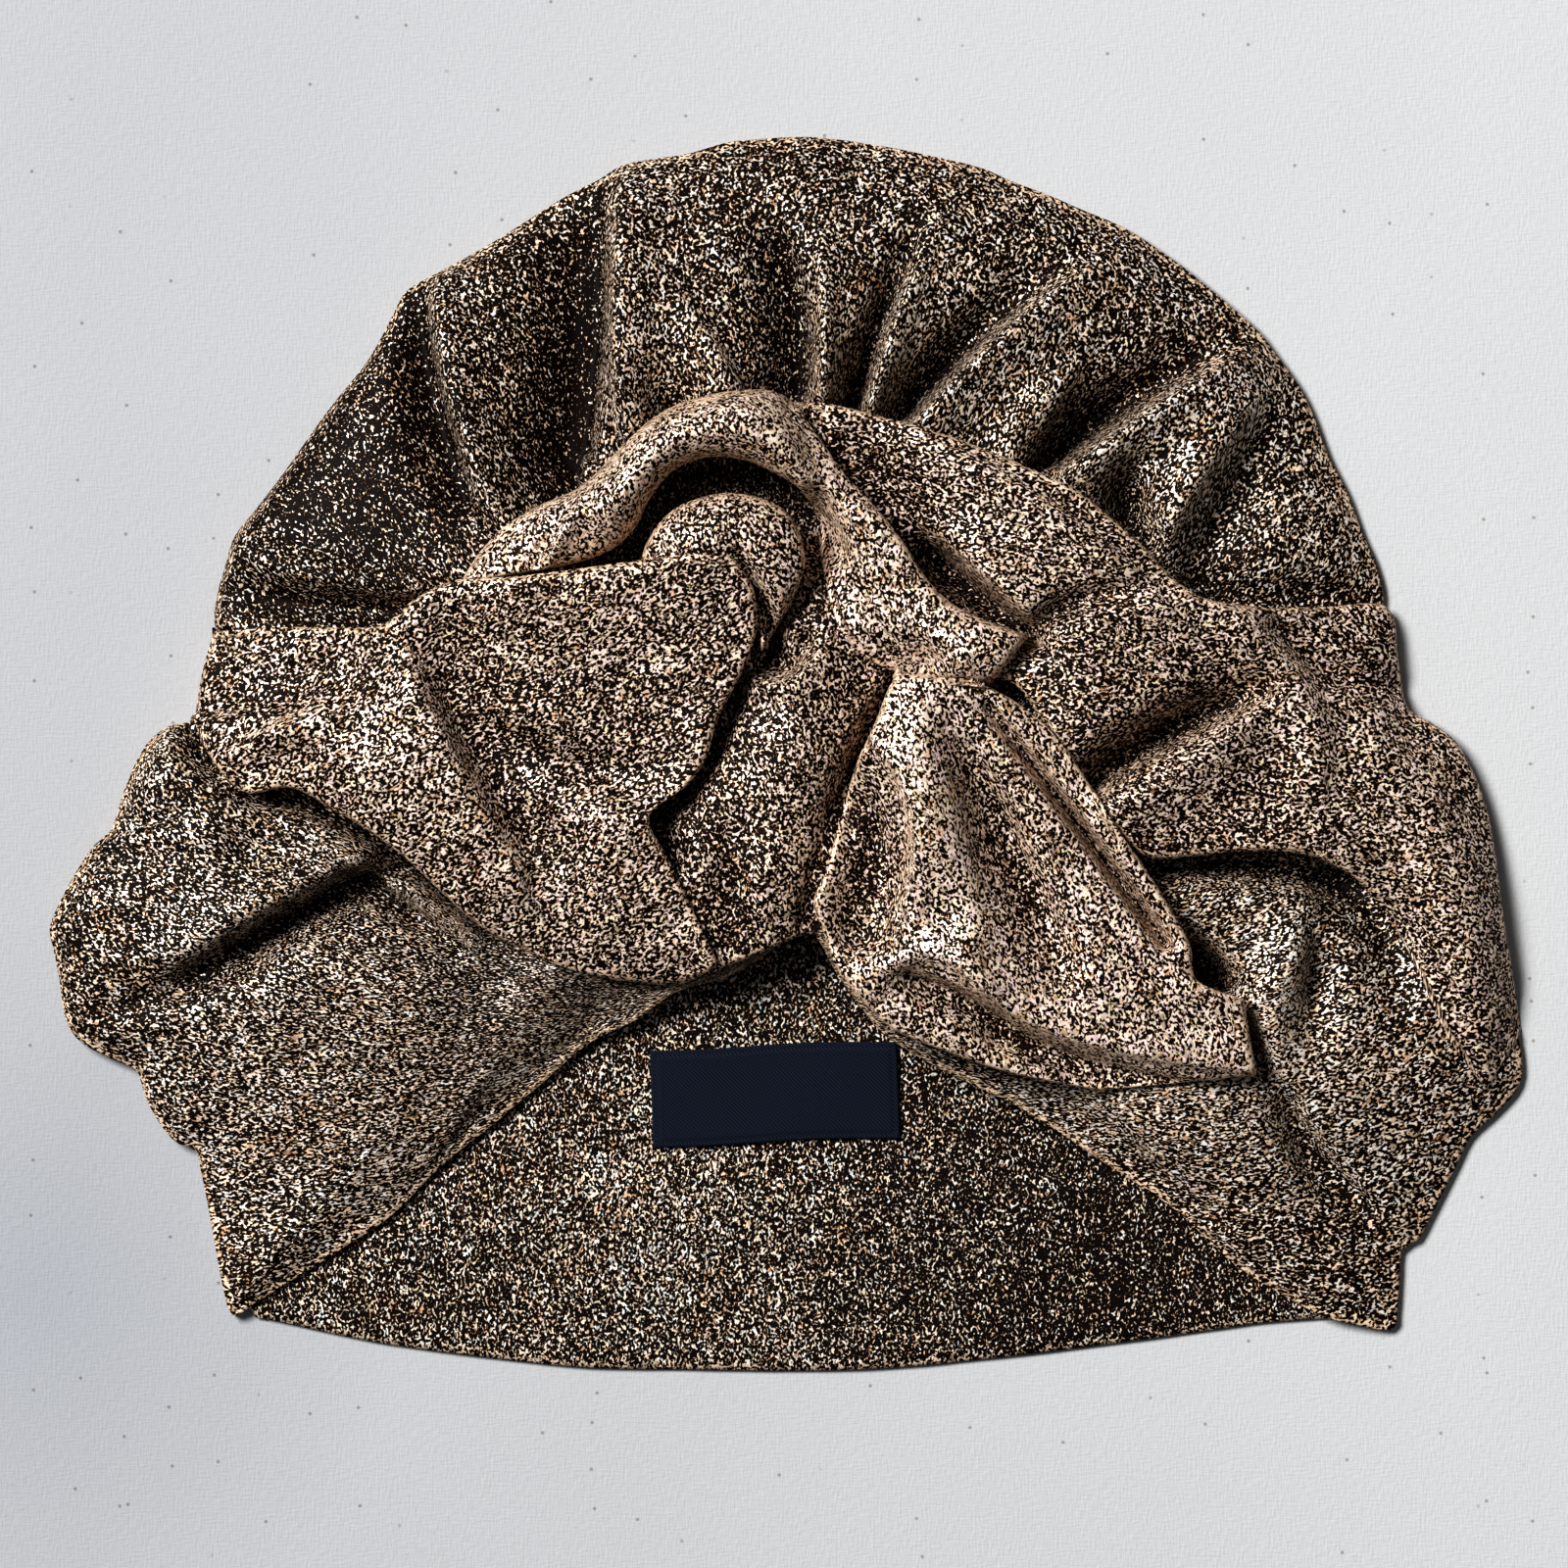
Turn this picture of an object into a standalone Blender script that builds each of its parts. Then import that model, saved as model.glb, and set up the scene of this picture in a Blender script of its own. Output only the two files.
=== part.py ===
"""Twist-front turban of metallic knit, lying flat on its back with its front up.

The tables are in millimetres. X runs across the turban, Y up towards the crown and Z off the
surface that it lies on. The origin is the middle of its outline, on that surface.
"""
from collections import namedtuple

import bpy
import numpy as np
from mathutils import Vector
from mathutils.bvhtree import BVHTree

MM = 0.001

# Cloth and clearances
WALL = 2.0
BACK_WALL = 2.0
GAP = 0.3
LAYER_GAP = 0.9
LABEL_WALL = 0.8

# Centre of the knot, which the rays of both panels leave
KNOT = np.array((0.0, 29.0))

# The crown's height by its share of the way from the knot to the outline
DOME = ((0.0, 21.0), (0.3, 21.5), (0.5, 20.5), (0.7, 17.0), (0.85, 12.5), (1.0, 9.0))

# The label
LABEL_SIZE = (55.5, 21.8)
LABEL_CENTRE = (-2.4, -76.1)
LABEL_TURN = 2.0

# The front never rises less than this over its own edge
LEAST_RISE = 1.0

# The back is drawn in from the front's edge by this much
HEM_INSET = 0.6

# How far a wrap's edge turns down, and over what width
EDGE_ROLL = 2.5
EDGE_ROUND = 4.0

# A wrap clears what lies under it within this distance of each of its points
LAY_REACH = 4.5

# A height over the whole turban
OVER_ALL = 200.0

# Rays to each point of the front's edge, and the rings of both panels
RAYS_PER_POINT = 2
FRONT_RINGS = (0.22, 0.4, 0.5, 0.6, 0.7, 0.8, 0.89, 0.96, 1.0)
BACK_RINGS = (0.5, 1.0)

# The outline's points run clockwise from the lower left corner. lift is the height of the cloth's
# underside at its edge, and soft is how far in from the edge the cloth takes to round over.
Edge = namedtuple("Edge", "x y lift soft")
# A section of a wrap: its first edge and its second, and the height of the cloth at each
Section = namedtuple("Section", "ax ay az bx by bz")
# A fold's start, middle and end, each with its height there, and its width to the left and to
# the right of the way it runs; a negative height is a valley
Fold = namedtuple("Fold", "start middle end left right")
# A wrap's name, its sections from end to end, its folds, and the faces between its edges
Wrap = namedtuple("Wrap", "name sections folds across")

SEAM = BACK_WALL + GAP

LEFT_SIDE = (
    Edge(-124, -125.5, SEAM, 3), Edge(-128, -110, SEAM, 3), Edge(-132.5, -88.5, SEAM, 4),
    Edge(-141, -81.5, SEAM, 4), Edge(-146, -71, SEAM, 5), Edge(-158.5, -64, SEAM, 5),
    Edge(-163, -50.5, SEAM, 5), Edge(-165, -38.5, SEAM, 5), Edge(-161, -29.5, SEAM, 5),
    Edge(-151, -16.5, SEAM, 5), Edge(-143.5, 2, SEAM, 4), Edge(-138, 6.5, SEAM, 3),
    Edge(-132, 9, SEAM, 3),
)
CROWN = (
    Edge(-128, 22, SEAM, 3), Edge(-127, 35, SEAM, 3), Edge(-123.5, 49, SEAM, 3),
    Edge(-113.5, 61.5, SEAM, 3), Edge(-102.5, 77, SEAM, 3), Edge(-94, 88, SEAM, 3),
    Edge(-86, 103, SEAM, 3), Edge(-76, 109, SEAM, 3), Edge(-57.5, 120, SEAM, 3),
    Edge(-42, 129, SEAM, 3), Edge(-35.5, 132.5, SEAM, 3), Edge(-13.5, 137, SEAM, 3),
    Edge(6, 138.5, SEAM, 3), Edge(32.5, 134, SEAM, 3), Edge(50, 128.5, SEAM, 3),
    Edge(76.5, 117.5, SEAM, 3), Edge(96.5, 103.5, SEAM, 3), Edge(109.5, 90, SEAM, 3),
    Edge(118.5, 76, SEAM, 3), Edge(126, 58, SEAM, 3), Edge(132.5, 42, SEAM, 3),
)
RIGHT_SIDE = (
    Edge(134.5, 24, SEAM, 3), Edge(137, 11, SEAM, 3), Edge(142, 6, SEAM, 3),
    Edge(152, -6, SEAM, 4), Edge(157, -24, SEAM, 4), Edge(160.5, -46, SEAM, 5),
    Edge(164, -64, SEAM, 5), Edge(162.5, -75, SEAM, 5), Edge(156, -79, SEAM, 4),
    Edge(150, -92.5, SEAM, 4), Edge(143.5, -105.5, SEAM, 4), Edge(138, -111, SEAM, 3),
    Edge(137, -125, SEAM, 3),
)
OPENING = (
    Edge(135.5, -129, SEAM + 0.2, 5), Edge(118.5, -125, 3, 8), Edge(101, -114.5, 4, 12),
    Edge(72, -92, 7, 15), Edge(43.5, -75, 10, 18), Edge(22.5, -62, 12, 18),
    Edge(11, -47, 13, 14), Edge(2, -35, 13, 14), Edge(-8, -39, 13, 14),
    Edge(-24.5, -49, 13, 14), Edge(-44.5, -65, 12, 18), Edge(-66.5, -83.5, 9, 18),
    Edge(-88.5, -103.5, 5, 14), Edge(-110.5, -117.5, 3, 8),
)
FRONT_EDGE = LEFT_SIDE + CROWN + RIGHT_SIDE + OPENING
HEM = (
    Edge(136, -128.5, 0, 3), Edge(110, -127.5, 0, 3), Edge(87.5, -130, 0, 3),
    Edge(43.5, -136.5, 0, 3), Edge(0, -139, 0, 3), Edge(-44.5, -138, 0, 3),
    Edge(-88.5, -132.5, 0, 3), Edge(-110.5, -128, 0, 3),
)

CROWN_FOLDS = (
    # left of the arch
    Fold((-122, 46, 1), (-110, 41, 2.5), (-84, 37, 2), 6, 3),
    Fold((-83, 101, -2), (-82, 90, -4), (-76, 72, -2), 3, 5),
    Fold((-78, 104, 1), (-74, 81, 3), (-64, 52, 2), 8, 3),
    Fold((-46, 120, -3), (-51, 92, -7), (-58, 58, -7), 5, 11),
    Fold((-37, 128, 1.5), (-38, 103, 4), (-37, 74, 4), 7, 4),
    # over the arch
    Fold((-25, 104, 0.5), (-17, 91, 2.5), (-10, 81, 2.5), 5, 4),
    Fold((-2, 121, -1), (-1, 103, -4.5), (-1, 80, -6), 5, 8),
    Fold((10, 124, 1), (9.5, 103, 3), (9, 80, 3), 5, 4),
    Fold((27, 114, -1.5), (20, 99, -4.5), (14, 78, -5), 4, 4),
    # right of the arch
    Fold((56, 110, -1), (41, 95, -4.5), (27, 75, -5), 4, 5),
    Fold((76, 105, 1), (61, 94, 3.5), (36, 75, 3), 6, 4),
    Fold((87, 93, -2), (69, 83, -6), (58, 66, -6), 5, 6),
    Fold((107, 90, 1), (88, 81, 3.5), (66, 64, 3), 6, 4),
    Fold((76, 64, -3), (76, 56, -5), (79, 49, -4), 5, 5),
    Fold((106, 84, 1), (95, 66, 4), (84, 47, 3), 7, 4),
)
CHEEK_FOLDS = (
    Fold((-115, -31, 2), (-124, -37, 3), (-138, -44, 1.5), 4, 8),
    Fold((-92, -26, -3), (-119, -41, -6), (-148, -55, -3), 6, 4),
    Fold((-69, -46, -2), (-71, -59, -2.5), (-82, -79, -1), 7, 7),
    Fold((119, -26, -3), (132, -35, -5), (141, -51, -2), 8, 7),
    Fold((118, -40, 2), (110, -53, 4), (109, -68, 2), 5, 5),
    Fold((112, -77, -2), (119, -92, -3.5), (133, -103, -1), 4, 5),
    Fold((98, -97, -1), (112, -103, -2.5), (126, -111, -0.5), 8, 8),
)

RIGHT_WRAP = (
    Section(8, 76, 22, 17, 46, 23), Section(22, 75, 22, 26, 33, 24),
    Section(33, 72, 22, 35, 22, 25), Section(43.5, 70.5, 22, 43.5, 15.5, 25),
    Section(54.5, 65, 22, 51.5, 7.5, 24), Section(65.5, 58.5, 22, 59, -2, 23),
    Section(76.5, 49.5, 21, 66, -13, 22), Section(85.5, 39.5, 20, 76.5, -23, 20),
    Section(98.5, 33, 19, 89, -22.5, 20), Section(114, 32, 15, 98, -21.5, 20),
    Section(127, 33, 10, 108, -21.5, 19), Section(134, 31, 7, 117, -22.5, 18),
    Section(136.5, 18, 7, 124, -25, 17), Section(140.5, 9, 7, 131, -30, 16),
    Section(152, 1, 8, 137.5, -38, 15), Section(158, -15.5, 8, 143, -47, 14),
    Section(162.5, -42, 8, 149.5, -61.5, 11), Section(165, -62, 7, 157, -75, 8),
)
RIGHT_WRAP_FOLDS = (
    Fold((34, 43, -4), (40, 37, -8), (47, 32, -4), 5, 5),
    Fold((57, 29, -2), (66, 34, -3), (83, 37, -1), 4, 4),
    Fold((83, 37, 2), (107, 26, 5), (119, -2, 3), 9, 7),
    Fold((104, 15, -3), (88, 4, -6), (71, -8, -5), 5, 5),
    Fold((128, -2, 1), (148, -20, 5), (156, -52, 3), 8, 10),
)

UPPER_WRAP = (
    Section(-72, 38, 21, -54, 41, 23), Section(-66.5, 46, 21, -45, 43, 23),
    Section(-56.5, 53, 21, -37.5, 44.5, 23), Section(-44.5, 60.5, 21, -34, 52, 23),
    Section(-38, 68, 21, -29.5, 58.5, 23), Section(-31, 75, 21, -22.5, 62.5, 24),
    Section(-22.5, 79, 21, -14.5, 65, 24), Section(-11.5, 80.5, 21, -8, 64, 24),
    Section(-0.5, 79.5, 22, -1.5, 60, 24), Section(9.5, 75, 24, 4, 55, 24),
    Section(15, 66, 25, 8, 48.5, 24), Section(22.5, 57, 25, 13, 42, 25),
    Section(29.5, 45, 26, 19.5, 35, 26), Section(36, 36.5, 26, 26, 26.5, 27),
    Section(44.5, 31, 26, 32.5, 19, 27), Section(53.5, 26, 26, 43.5, 15.5, 27),
)
UPPER_WRAP_FOLDS = (
    Fold((-62, 44, 4), (-50, 50, 6), (-36, 60, 7), 7, 7),
    Fold((-36, 60, 5), (-12, 84, 10), (14, 60, 6), 8, 8),
    Fold((14, 60, 5), (25, 44, 7), (46, 24, 7), 6, 6),
)

KNOT_CORE = (
    Section(-32, 37.5, 23, -22.5, 28.5, 24), Section(-30, 44.5, 23, -19, 33, 25),
    Section(-24.5, 51.5, 23, -16, 35, 26), Section(-17.5, 56.5, 23, -12.5, 36.5, 27),
    Section(-10.5, 57.5, 23, -9.5, 35, 27), Section(-2.5, 55, 23, -8, 33, 27),
    Section(2, 49, 23, -7, 29.5, 27), Section(4, 42, 23, -6, 26.5, 26),
    Section(2, 35, 23, -5.5, 22.5, 25),
)
KNOT_CORE_FOLDS = (
    Fold((-24, 42, 4), (-12, 50, 7), (0, 42, 4), 9, 9),
)

CENTRE_WRAP = (
    Section(-7, 40, 24, 19, 40, 24), Section(-11.5, 24, 24, 27, 27, 24),
    Section(-17, 11, 23, 28, 13, 24), Section(-22.5, -2, 23, 23, 0, 24),
    Section(-30, -15.5, 22, 19.5, -13, 23), Section(-29, -26.5, 22, 14.5, -24, 22),
    Section(-24.5, -37.5, 21, 9.5, -33, 21), Section(-18, -50.5, 20, 4.5, -38.5, 20),
)
CENTRE_WRAP_FOLDS = (
    Fold((6, 36, 3), (4, 8, 5), (-2, -32, 3), 12, 12),
    Fold((-13, -24, -1), (-13, -33, -2), (-12, -42, -1), 5, 5),
)

LEFT_WRAP = (
    Section(-73, 37.5, 27, -12.5, 42, 33), Section(-82, 33, 24, -8, 37.5, 34),
    Section(-89.5, 28.5, 20, -7, 32, 34), Section(-110.5, 27.5, 12, -7.5, 26.5, 34),
    Section(-128.5, 25.5, 7, -9, 21, 34), Section(-131, 15.5, 7, -10.5, 17, 33),
    Section(-131.5, 7, 7, -13, 10.5, 32), Section(-127, -4.5, 10, -16, 2, 31),
    Section(-119, -9, 13, -19, -4.5, 30), Section(-101.5, -13, 17, -25, -10, 29),
    Section(-88.5, -21.5, 19, -29.5, -13.5, 28), Section(-77.5, -28.5, 20, -30, -17.5, 27),
    Section(-68, -37.5, 20, -25, -25.5, 26), Section(-53, -46.5, 19, -21, -33, 25),
    Section(-35.5, -50.5, 19, -18.5, -40.5, 24), Section(-22.5, -51.5, 20, -17, -47.5, 23),
)
LEFT_WRAP_FOLDS = (
    Fold((-88, 25, 2), (-76, 7, 4), (-66, -18, 2), 6, 6),
    Fold((-68, 18, -2), (-66, 2, -3.5), (-57, -16, -2), 6, 7),
    Fold((-60, 34, 3), (-34, 30, 4), (-18, 20, 3), 9, 12),
    Fold((-32, -2, 1), (-40, -26, 3), (-34, -42, 2), 10, 10),
    Fold((-118, 18, 1), (-104, 8, 4), (-90, -8, 4), 12, 10),
)

RIGHT_TAIL = (
    Section(24.5, 18, 28, 40.5, 17, 28), Section(21.5, 13, 28, 49, 12.5, 27),
    Section(18.5, 4.5, 27, 56.5, 5, 26), Section(16, -3.5, 27, 62.5, -3, 25),
    Section(14, -12, 26, 68, -10.5, 24), Section(11.5, -20, 25, 72.5, -18, 23),
    Section(9, -26.5, 24, 77.5, -26, 22), Section(6.5, -33, 23, 83, -34, 21),
    Section(7.5, -39.5, 22, 88, -41.5, 19), Section(11, -48, 21, 93, -47.5, 18),
    Section(17, -55.5, 20, 98.5, -50, 17), Section(25, -61, 19, 102, -52.5, 16),
    Section(35, -65, 17, 102.5, -58, 15), Section(50, -70, 15, 104.5, -65, 14),
    Section(70, -72.5, 13, 107, -72, 12),
)
RIGHT_TAIL_FOLDS = (
    Fold((31, 12, 3), (34, -12, 6), (38, -40, 5), 10, 12),
    Fold((16, -7, -2), (18.5, -22, -5), (15, -38, -3), 6, 4),
    Fold((46, -5, -2), (53, -29, -4), (61, -56, -3), 5, 5),
    Fold((33, -47, 1), (59, -63, 3), (98, -69, 1), 7, 4),
)

# In the order that they are laid, each on those before it
WRAPS = (
    Wrap("right_wrap", RIGHT_WRAP, RIGHT_WRAP_FOLDS, 10),
    Wrap("upper_wrap", UPPER_WRAP, UPPER_WRAP_FOLDS, 6),
    Wrap("knot_core", KNOT_CORE, KNOT_CORE_FOLDS, 6),
    Wrap("centre_wrap", CENTRE_WRAP, CENTRE_WRAP_FOLDS, 8),
    Wrap("left_wrap", LEFT_WRAP, LEFT_WRAP_FOLDS, 14),
    Wrap("right_tail", RIGHT_TAIL, RIGHT_TAIL_FOLDS, 10),
)

Look = namedtuple("Look", "colour roughness metallic")
KNIT = Look((0.16, 0.11, 0.075), 0.45, 0.55)
BACK_KNIT = Look((0.13, 0.095, 0.07), 0.5, 0.5)
SATIN = Look((0.008, 0.01, 0.018), 0.4, 0.0)


def clear_scene():
    for item in list(bpy.data.objects):
        bpy.data.objects.remove(item, do_unlink=True)


def material(name, look):
    mat = bpy.data.materials.new(name)
    mat.use_nodes = True
    shader = mat.node_tree.nodes["Principled BSDF"]
    shader.inputs["Base Color"].default_value = (*look.colour, 1.0)
    shader.inputs["Roughness"].default_value = look.roughness
    shader.inputs["Metallic"].default_value = look.metallic
    return mat


def smooth_loop(rows, steps):
    """A closed loop of rows of numbers, with steps of them for each one in the table."""
    rows = np.array(rows, dtype=float)
    places = np.arange(len(rows) * steps) / steps
    lower = places.astype(int)
    t = (places - lower)[:, None]
    before, start, end, after = (rows[(lower + shift) % len(rows)] for shift in (-1, 0, 1, 2))
    return 0.5 * (
        2 * start
        + (end - before) * t
        + (2 * before - 5 * start + 4 * end - after) * t**2
        + (3 * start - before - 3 * end + after) * t**3
    )


def three_point_curve(fold, t):
    """Points and heights along a fold, on the curve through its start, middle and end."""
    start, middle, end = (np.array(point, dtype=float) for point in (fold.start, fold.middle, fold.end))
    t = t[:, None]
    return start * (1 - t) * (1 - 2 * t) + middle * 4 * t * (1 - t) + end * t * (2 * t - 1)


def fold_height(x, y, folds, samples=13):
    """How much a table of folds adds to the cloth's height over each place."""
    total = np.zeros(np.shape(x))
    place = np.stack([x, y], axis=-1)[..., None, :]
    for fold in folds:
        line = three_point_curve(fold, np.linspace(0, 1, samples))
        origin, step = line[:-1, :2], line[1:, :2] - line[:-1, :2]
        offset = place - origin
        share = np.clip((offset * step).sum(-1) / (step * step).sum(-1), 0, 1)
        away = offset - share[..., None] * step
        distance = np.sqrt((away**2).sum(-1))
        nearest = distance.argmin(-1)[..., None]

        def pick(values):
            return np.take_along_axis(values, nearest, -1)[..., 0]

        side = pick(step[:, 0] * offset[..., 1] - step[:, 1] * offset[..., 0])
        height = pick(line[:-1, 2] + share * (line[1:, 2] - line[:-1, 2]))
        width = np.where(side > 0, fold.left, fold.right)
        total += height * np.exp(-((pick(distance) / width) ** 2))
    return total


def dome_height(share):
    """The crown's height at a share of the way from the knot to the outline."""
    return np.interp(share, [row[0] for row in DOME], [row[1] for row in DOME])


def grid_faces(rows, columns, closed):
    """Four-sided faces of a grid of points, closed round its rows where asked."""
    faces = []
    for i in range(rows if closed else rows - 1):
        for j in range(columns - 1):
            a, b = i * columns + j, ((i + 1) % rows) * columns + j
            faces.append((a, b, b + 1, a + 1))
    return faces


def cloth_piece(name, points, faces, wall, mat, collection):
    """A sheet of cloth from its upper face, with its thickness below that face."""
    mesh = bpy.data.meshes.new(name)
    mesh.from_pydata([tuple(point * MM) for point in points], [], faces)
    mesh.update()
    if sum(face.normal.z * face.area for face in mesh.polygons) < 0:
        mesh.flip_normals()
    item = bpy.data.objects.new(name, mesh)
    collection.objects.link(item)
    item.data.materials.append(mat)
    thickness = item.modifiers.new("wall", "SOLIDIFY")
    thickness.thickness = wall * MM
    thickness.offset = -1.0
    mesh.shade_smooth()
    return item


def rays(edge, rings):
    """Rows of places along the rays from the knot to an edge, with the knot as the last row, and
    their faces. A row holds x, y, its share of the way out, how far it is from the edge, and
    the edge's lift and soft there."""
    rows = []
    for ray in edge:
        away = ray[:2] - KNOT
        for share in rings:
            inward = np.linalg.norm(away) * (1 - share)
            rows.append((*(KNOT + away * share), share, inward, *ray[2:]))
    reach = np.linalg.norm(edge[:, :2] - KNOT, axis=1).mean()
    rows.append((*KNOT, 0.0, reach, *edge[:, 2:].mean(axis=0)))
    columns = len(rings)
    faces = grid_faces(len(edge), columns, closed=True)
    for i in range(len(edge)):
        faces.append((i * columns, len(rows) - 1, ((i + 1) % len(edge)) * columns))
    return np.array(rows), faces


def front_panel(mat, collection):
    """The front: a dome that rounds over to its edge, with folds in it."""
    rows, faces = rays(smooth_loop(FRONT_EDGE, RAYS_PER_POINT), FRONT_RINGS)
    x, y, share, inward, lift, soft = rows.T
    edge = lift + WALL
    rise = dome_height(share) + fold_height(x, y, CROWN_FOLDS + CHEEK_FOLDS) - edge
    z = edge + np.maximum(rise, LEAST_RISE) * (1 - np.exp(-inward / soft))
    return cloth_piece("front_panel", np.stack([x, y, z], axis=-1), faces, WALL, mat, collection)


def back_panel(mat, collection):
    """The back: flat on the surface, just inside the front's edge."""
    edge = np.array(LEFT_SIDE + CROWN + RIGHT_SIDE + HEM, dtype=float)
    rows, faces = rays(inset(edge, HEM_INSET), BACK_RINGS)
    points = rows[:, :3].copy()
    points[:, 2] = BACK_WALL
    return cloth_piece("back_panel", points, faces, BACK_WALL, mat, collection)


def inset(edge, distance):
    """An edge drawn in towards the knot."""
    away = edge[:, :2] - KNOT
    moved = edge.copy()
    moved[:, :2] -= away / np.linalg.norm(away, axis=1)[:, None] * distance
    return moved


def height_below(pieces, x, y):
    """The highest of the pieces' upper faces near a place."""
    turns = np.radians(np.arange(0, 360, 45))
    spots = [(0, 0)] + [(LAY_REACH * np.cos(a), LAY_REACH * np.sin(a)) for a in turns]
    highest = 0.0
    for piece in pieces:
        for dx, dy in spots:
            start = Vector((x + dx, y + dy, OVER_ALL)) * MM
            hit = piece.ray_cast(start, Vector((0, 0, -1)))[0]
            if hit:
                highest = max(highest, hit.z / MM)
    return highest


def tree_of(item):
    """The faces of a piece, for finding what lies under another."""
    solid = item.evaluated_get(bpy.context.evaluated_depsgraph_get()).to_mesh()
    vertices = [vertex.co.copy() for vertex in solid.vertices]
    polygons = [tuple(face.vertices) for face in solid.polygons]
    return BVHTree.FromPolygons(vertices, polygons)


def sheet_points(wrap):
    """The upper face of a wrap: sections from edge to edge, rounded down at each edge."""
    rows = np.array(wrap.sections, dtype=float)
    across = wrap.across
    share = 0.5 - 0.5 * np.cos(np.pi * np.arange(across + 1) / across)
    first, second = rows[:, None, :3], rows[:, None, 3:]
    points = first + (second - first) * share[None, :, None]
    width = np.linalg.norm(rows[:, 3:5] - rows[:, :2], axis=1)[:, None]
    middle = points[:, across // 2, :2]
    steps = np.linalg.norm(np.diff(middle, axis=0), axis=1)
    travel = np.concatenate([[0], np.cumsum(steps)])[:, None]
    inward = np.minimum(np.minimum(share, 1 - share) * width, np.minimum(travel, travel[-1] - travel))
    points[..., 2] += fold_height(points[..., 0], points[..., 1], wrap.folds)
    drop = np.clip(1 - inward / EDGE_ROUND, 0, 1)
    points[..., 2] -= EDGE_ROLL * (1 - np.sqrt(1 - drop**2))
    return points.reshape(-1, 3), grid_faces(len(rows), across + 1, closed=False)


def wrap_piece(wrap, below, mat, collection):
    """A wrap laid on the pieces below it."""
    points, faces = sheet_points(wrap)
    for point in points:
        rest = height_below(below, point[0], point[1]) + LAYER_GAP + WALL
        point[2] = max(point[2], rest)
    return cloth_piece(wrap.name, points, faces, WALL, mat, collection)


def label_piece(mat, collection):
    bpy.ops.mesh.primitive_cube_add(size=1.0)
    item = bpy.context.object
    item.name = item.data.name = "label"
    height = BACK_WALL + GAP + LABEL_WALL / 2
    item.location = (LABEL_CENTRE[0] * MM, LABEL_CENTRE[1] * MM, height * MM)
    item.rotation_euler = (0, 0, np.radians(LABEL_TURN))
    item.scale = (LABEL_SIZE[0] * MM, LABEL_SIZE[1] * MM, LABEL_WALL * MM)
    bpy.ops.object.transform_apply(location=False, rotation=False, scale=True)
    for owner in list(item.users_collection):
        owner.objects.unlink(item)
    collection.objects.link(item)
    item.data.materials.append(mat)
    return item


def main():
    clear_scene()
    collection = bpy.data.collections.new("turban")
    bpy.context.scene.collection.children.link(collection)
    knit = material("metallic_knit", KNIT)
    back_knit = material("knit_inside", BACK_KNIT)
    satin = material("woven_label", SATIN)

    front = front_panel(knit, collection)
    back_panel(back_knit, collection)
    label_piece(satin, collection)

    bpy.context.view_layer.update()
    below = [tree_of(front)]
    for wrap in WRAPS:
        piece = wrap_piece(wrap, below, knit, collection)
        bpy.context.view_layer.update()
        below.append(tree_of(piece))


main()
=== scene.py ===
"""Looks of a pre-tied turban of metallic knit, lying flat on its back with its front up.

The tables are in millimetres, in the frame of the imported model: X across the turban, Y up
towards the crown, Z off the surface that it lies on.
"""

import math
from collections import namedtuple

import bmesh
import bpy
import numpy as np
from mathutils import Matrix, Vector
from mathutils.bvhtree import BVHTree


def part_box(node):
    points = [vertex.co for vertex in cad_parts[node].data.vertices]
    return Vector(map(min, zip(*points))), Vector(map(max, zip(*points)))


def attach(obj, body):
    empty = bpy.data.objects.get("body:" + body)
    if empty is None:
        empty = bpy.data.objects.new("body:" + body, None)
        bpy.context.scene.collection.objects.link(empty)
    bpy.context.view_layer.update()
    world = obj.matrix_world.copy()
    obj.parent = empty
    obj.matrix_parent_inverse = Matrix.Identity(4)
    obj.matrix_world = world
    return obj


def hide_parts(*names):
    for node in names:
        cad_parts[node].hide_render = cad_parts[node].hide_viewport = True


bl_info = {
    "name": "Twist-front turban",
    "version": (1, 0, 0),
    "blender": (4, 5, 0),
    "location": "3D View > Sidebar > Turban",
    "description": "Builds the cloth, label and stage of a twist-front turban",
    "category": "Add Mesh",
}

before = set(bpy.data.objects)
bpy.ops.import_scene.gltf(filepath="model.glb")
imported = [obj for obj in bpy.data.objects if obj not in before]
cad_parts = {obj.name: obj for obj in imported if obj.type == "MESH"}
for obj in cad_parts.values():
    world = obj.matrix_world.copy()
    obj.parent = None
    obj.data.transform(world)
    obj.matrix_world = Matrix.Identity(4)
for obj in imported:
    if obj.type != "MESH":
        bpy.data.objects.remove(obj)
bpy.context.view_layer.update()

MM = 0.001

# The middle of the knot, where the grids of both panels have their centre
KNOT = np.array((0.0, 29.0))
# The lines of the front's knit spread from here
KNIT_CENTRE = np.array((-9.0, -40.0))

# A section of a wrap: its two edges, the height of the cloth at each, how far the cloth swells
# between them, and whether each edge is a rolled fold (1) or thins out into the cloth below (0)
Section = namedtuple("Section", "ax ay az bx by bz swell ar br", defaults=(2.0, 1, 1))
# The four edges of a wrap that is cut to them, each a row of points; left and right join the ends of
# top and bottom
Edges = namedtuple("Edges", "top bottom left right")
# A fold's start, middle and end, each with its height there, and its width to the left and to
# the right of the way it runs; a negative height is a valley
Fold = namedtuple("Fold", "start middle end left right")
# A wrap's name, its sections from end to end, its folds, how far its edges turn down, whether its
# first and last rows are rolled, the way the knit runs in it in degrees, its cut size in metres and
# how much of it the metallic thread covers, set piece by piece to make it lighter or darker
Wrap = namedtuple("Wrap", "name sections folds roll ends grain cut cover")
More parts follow.
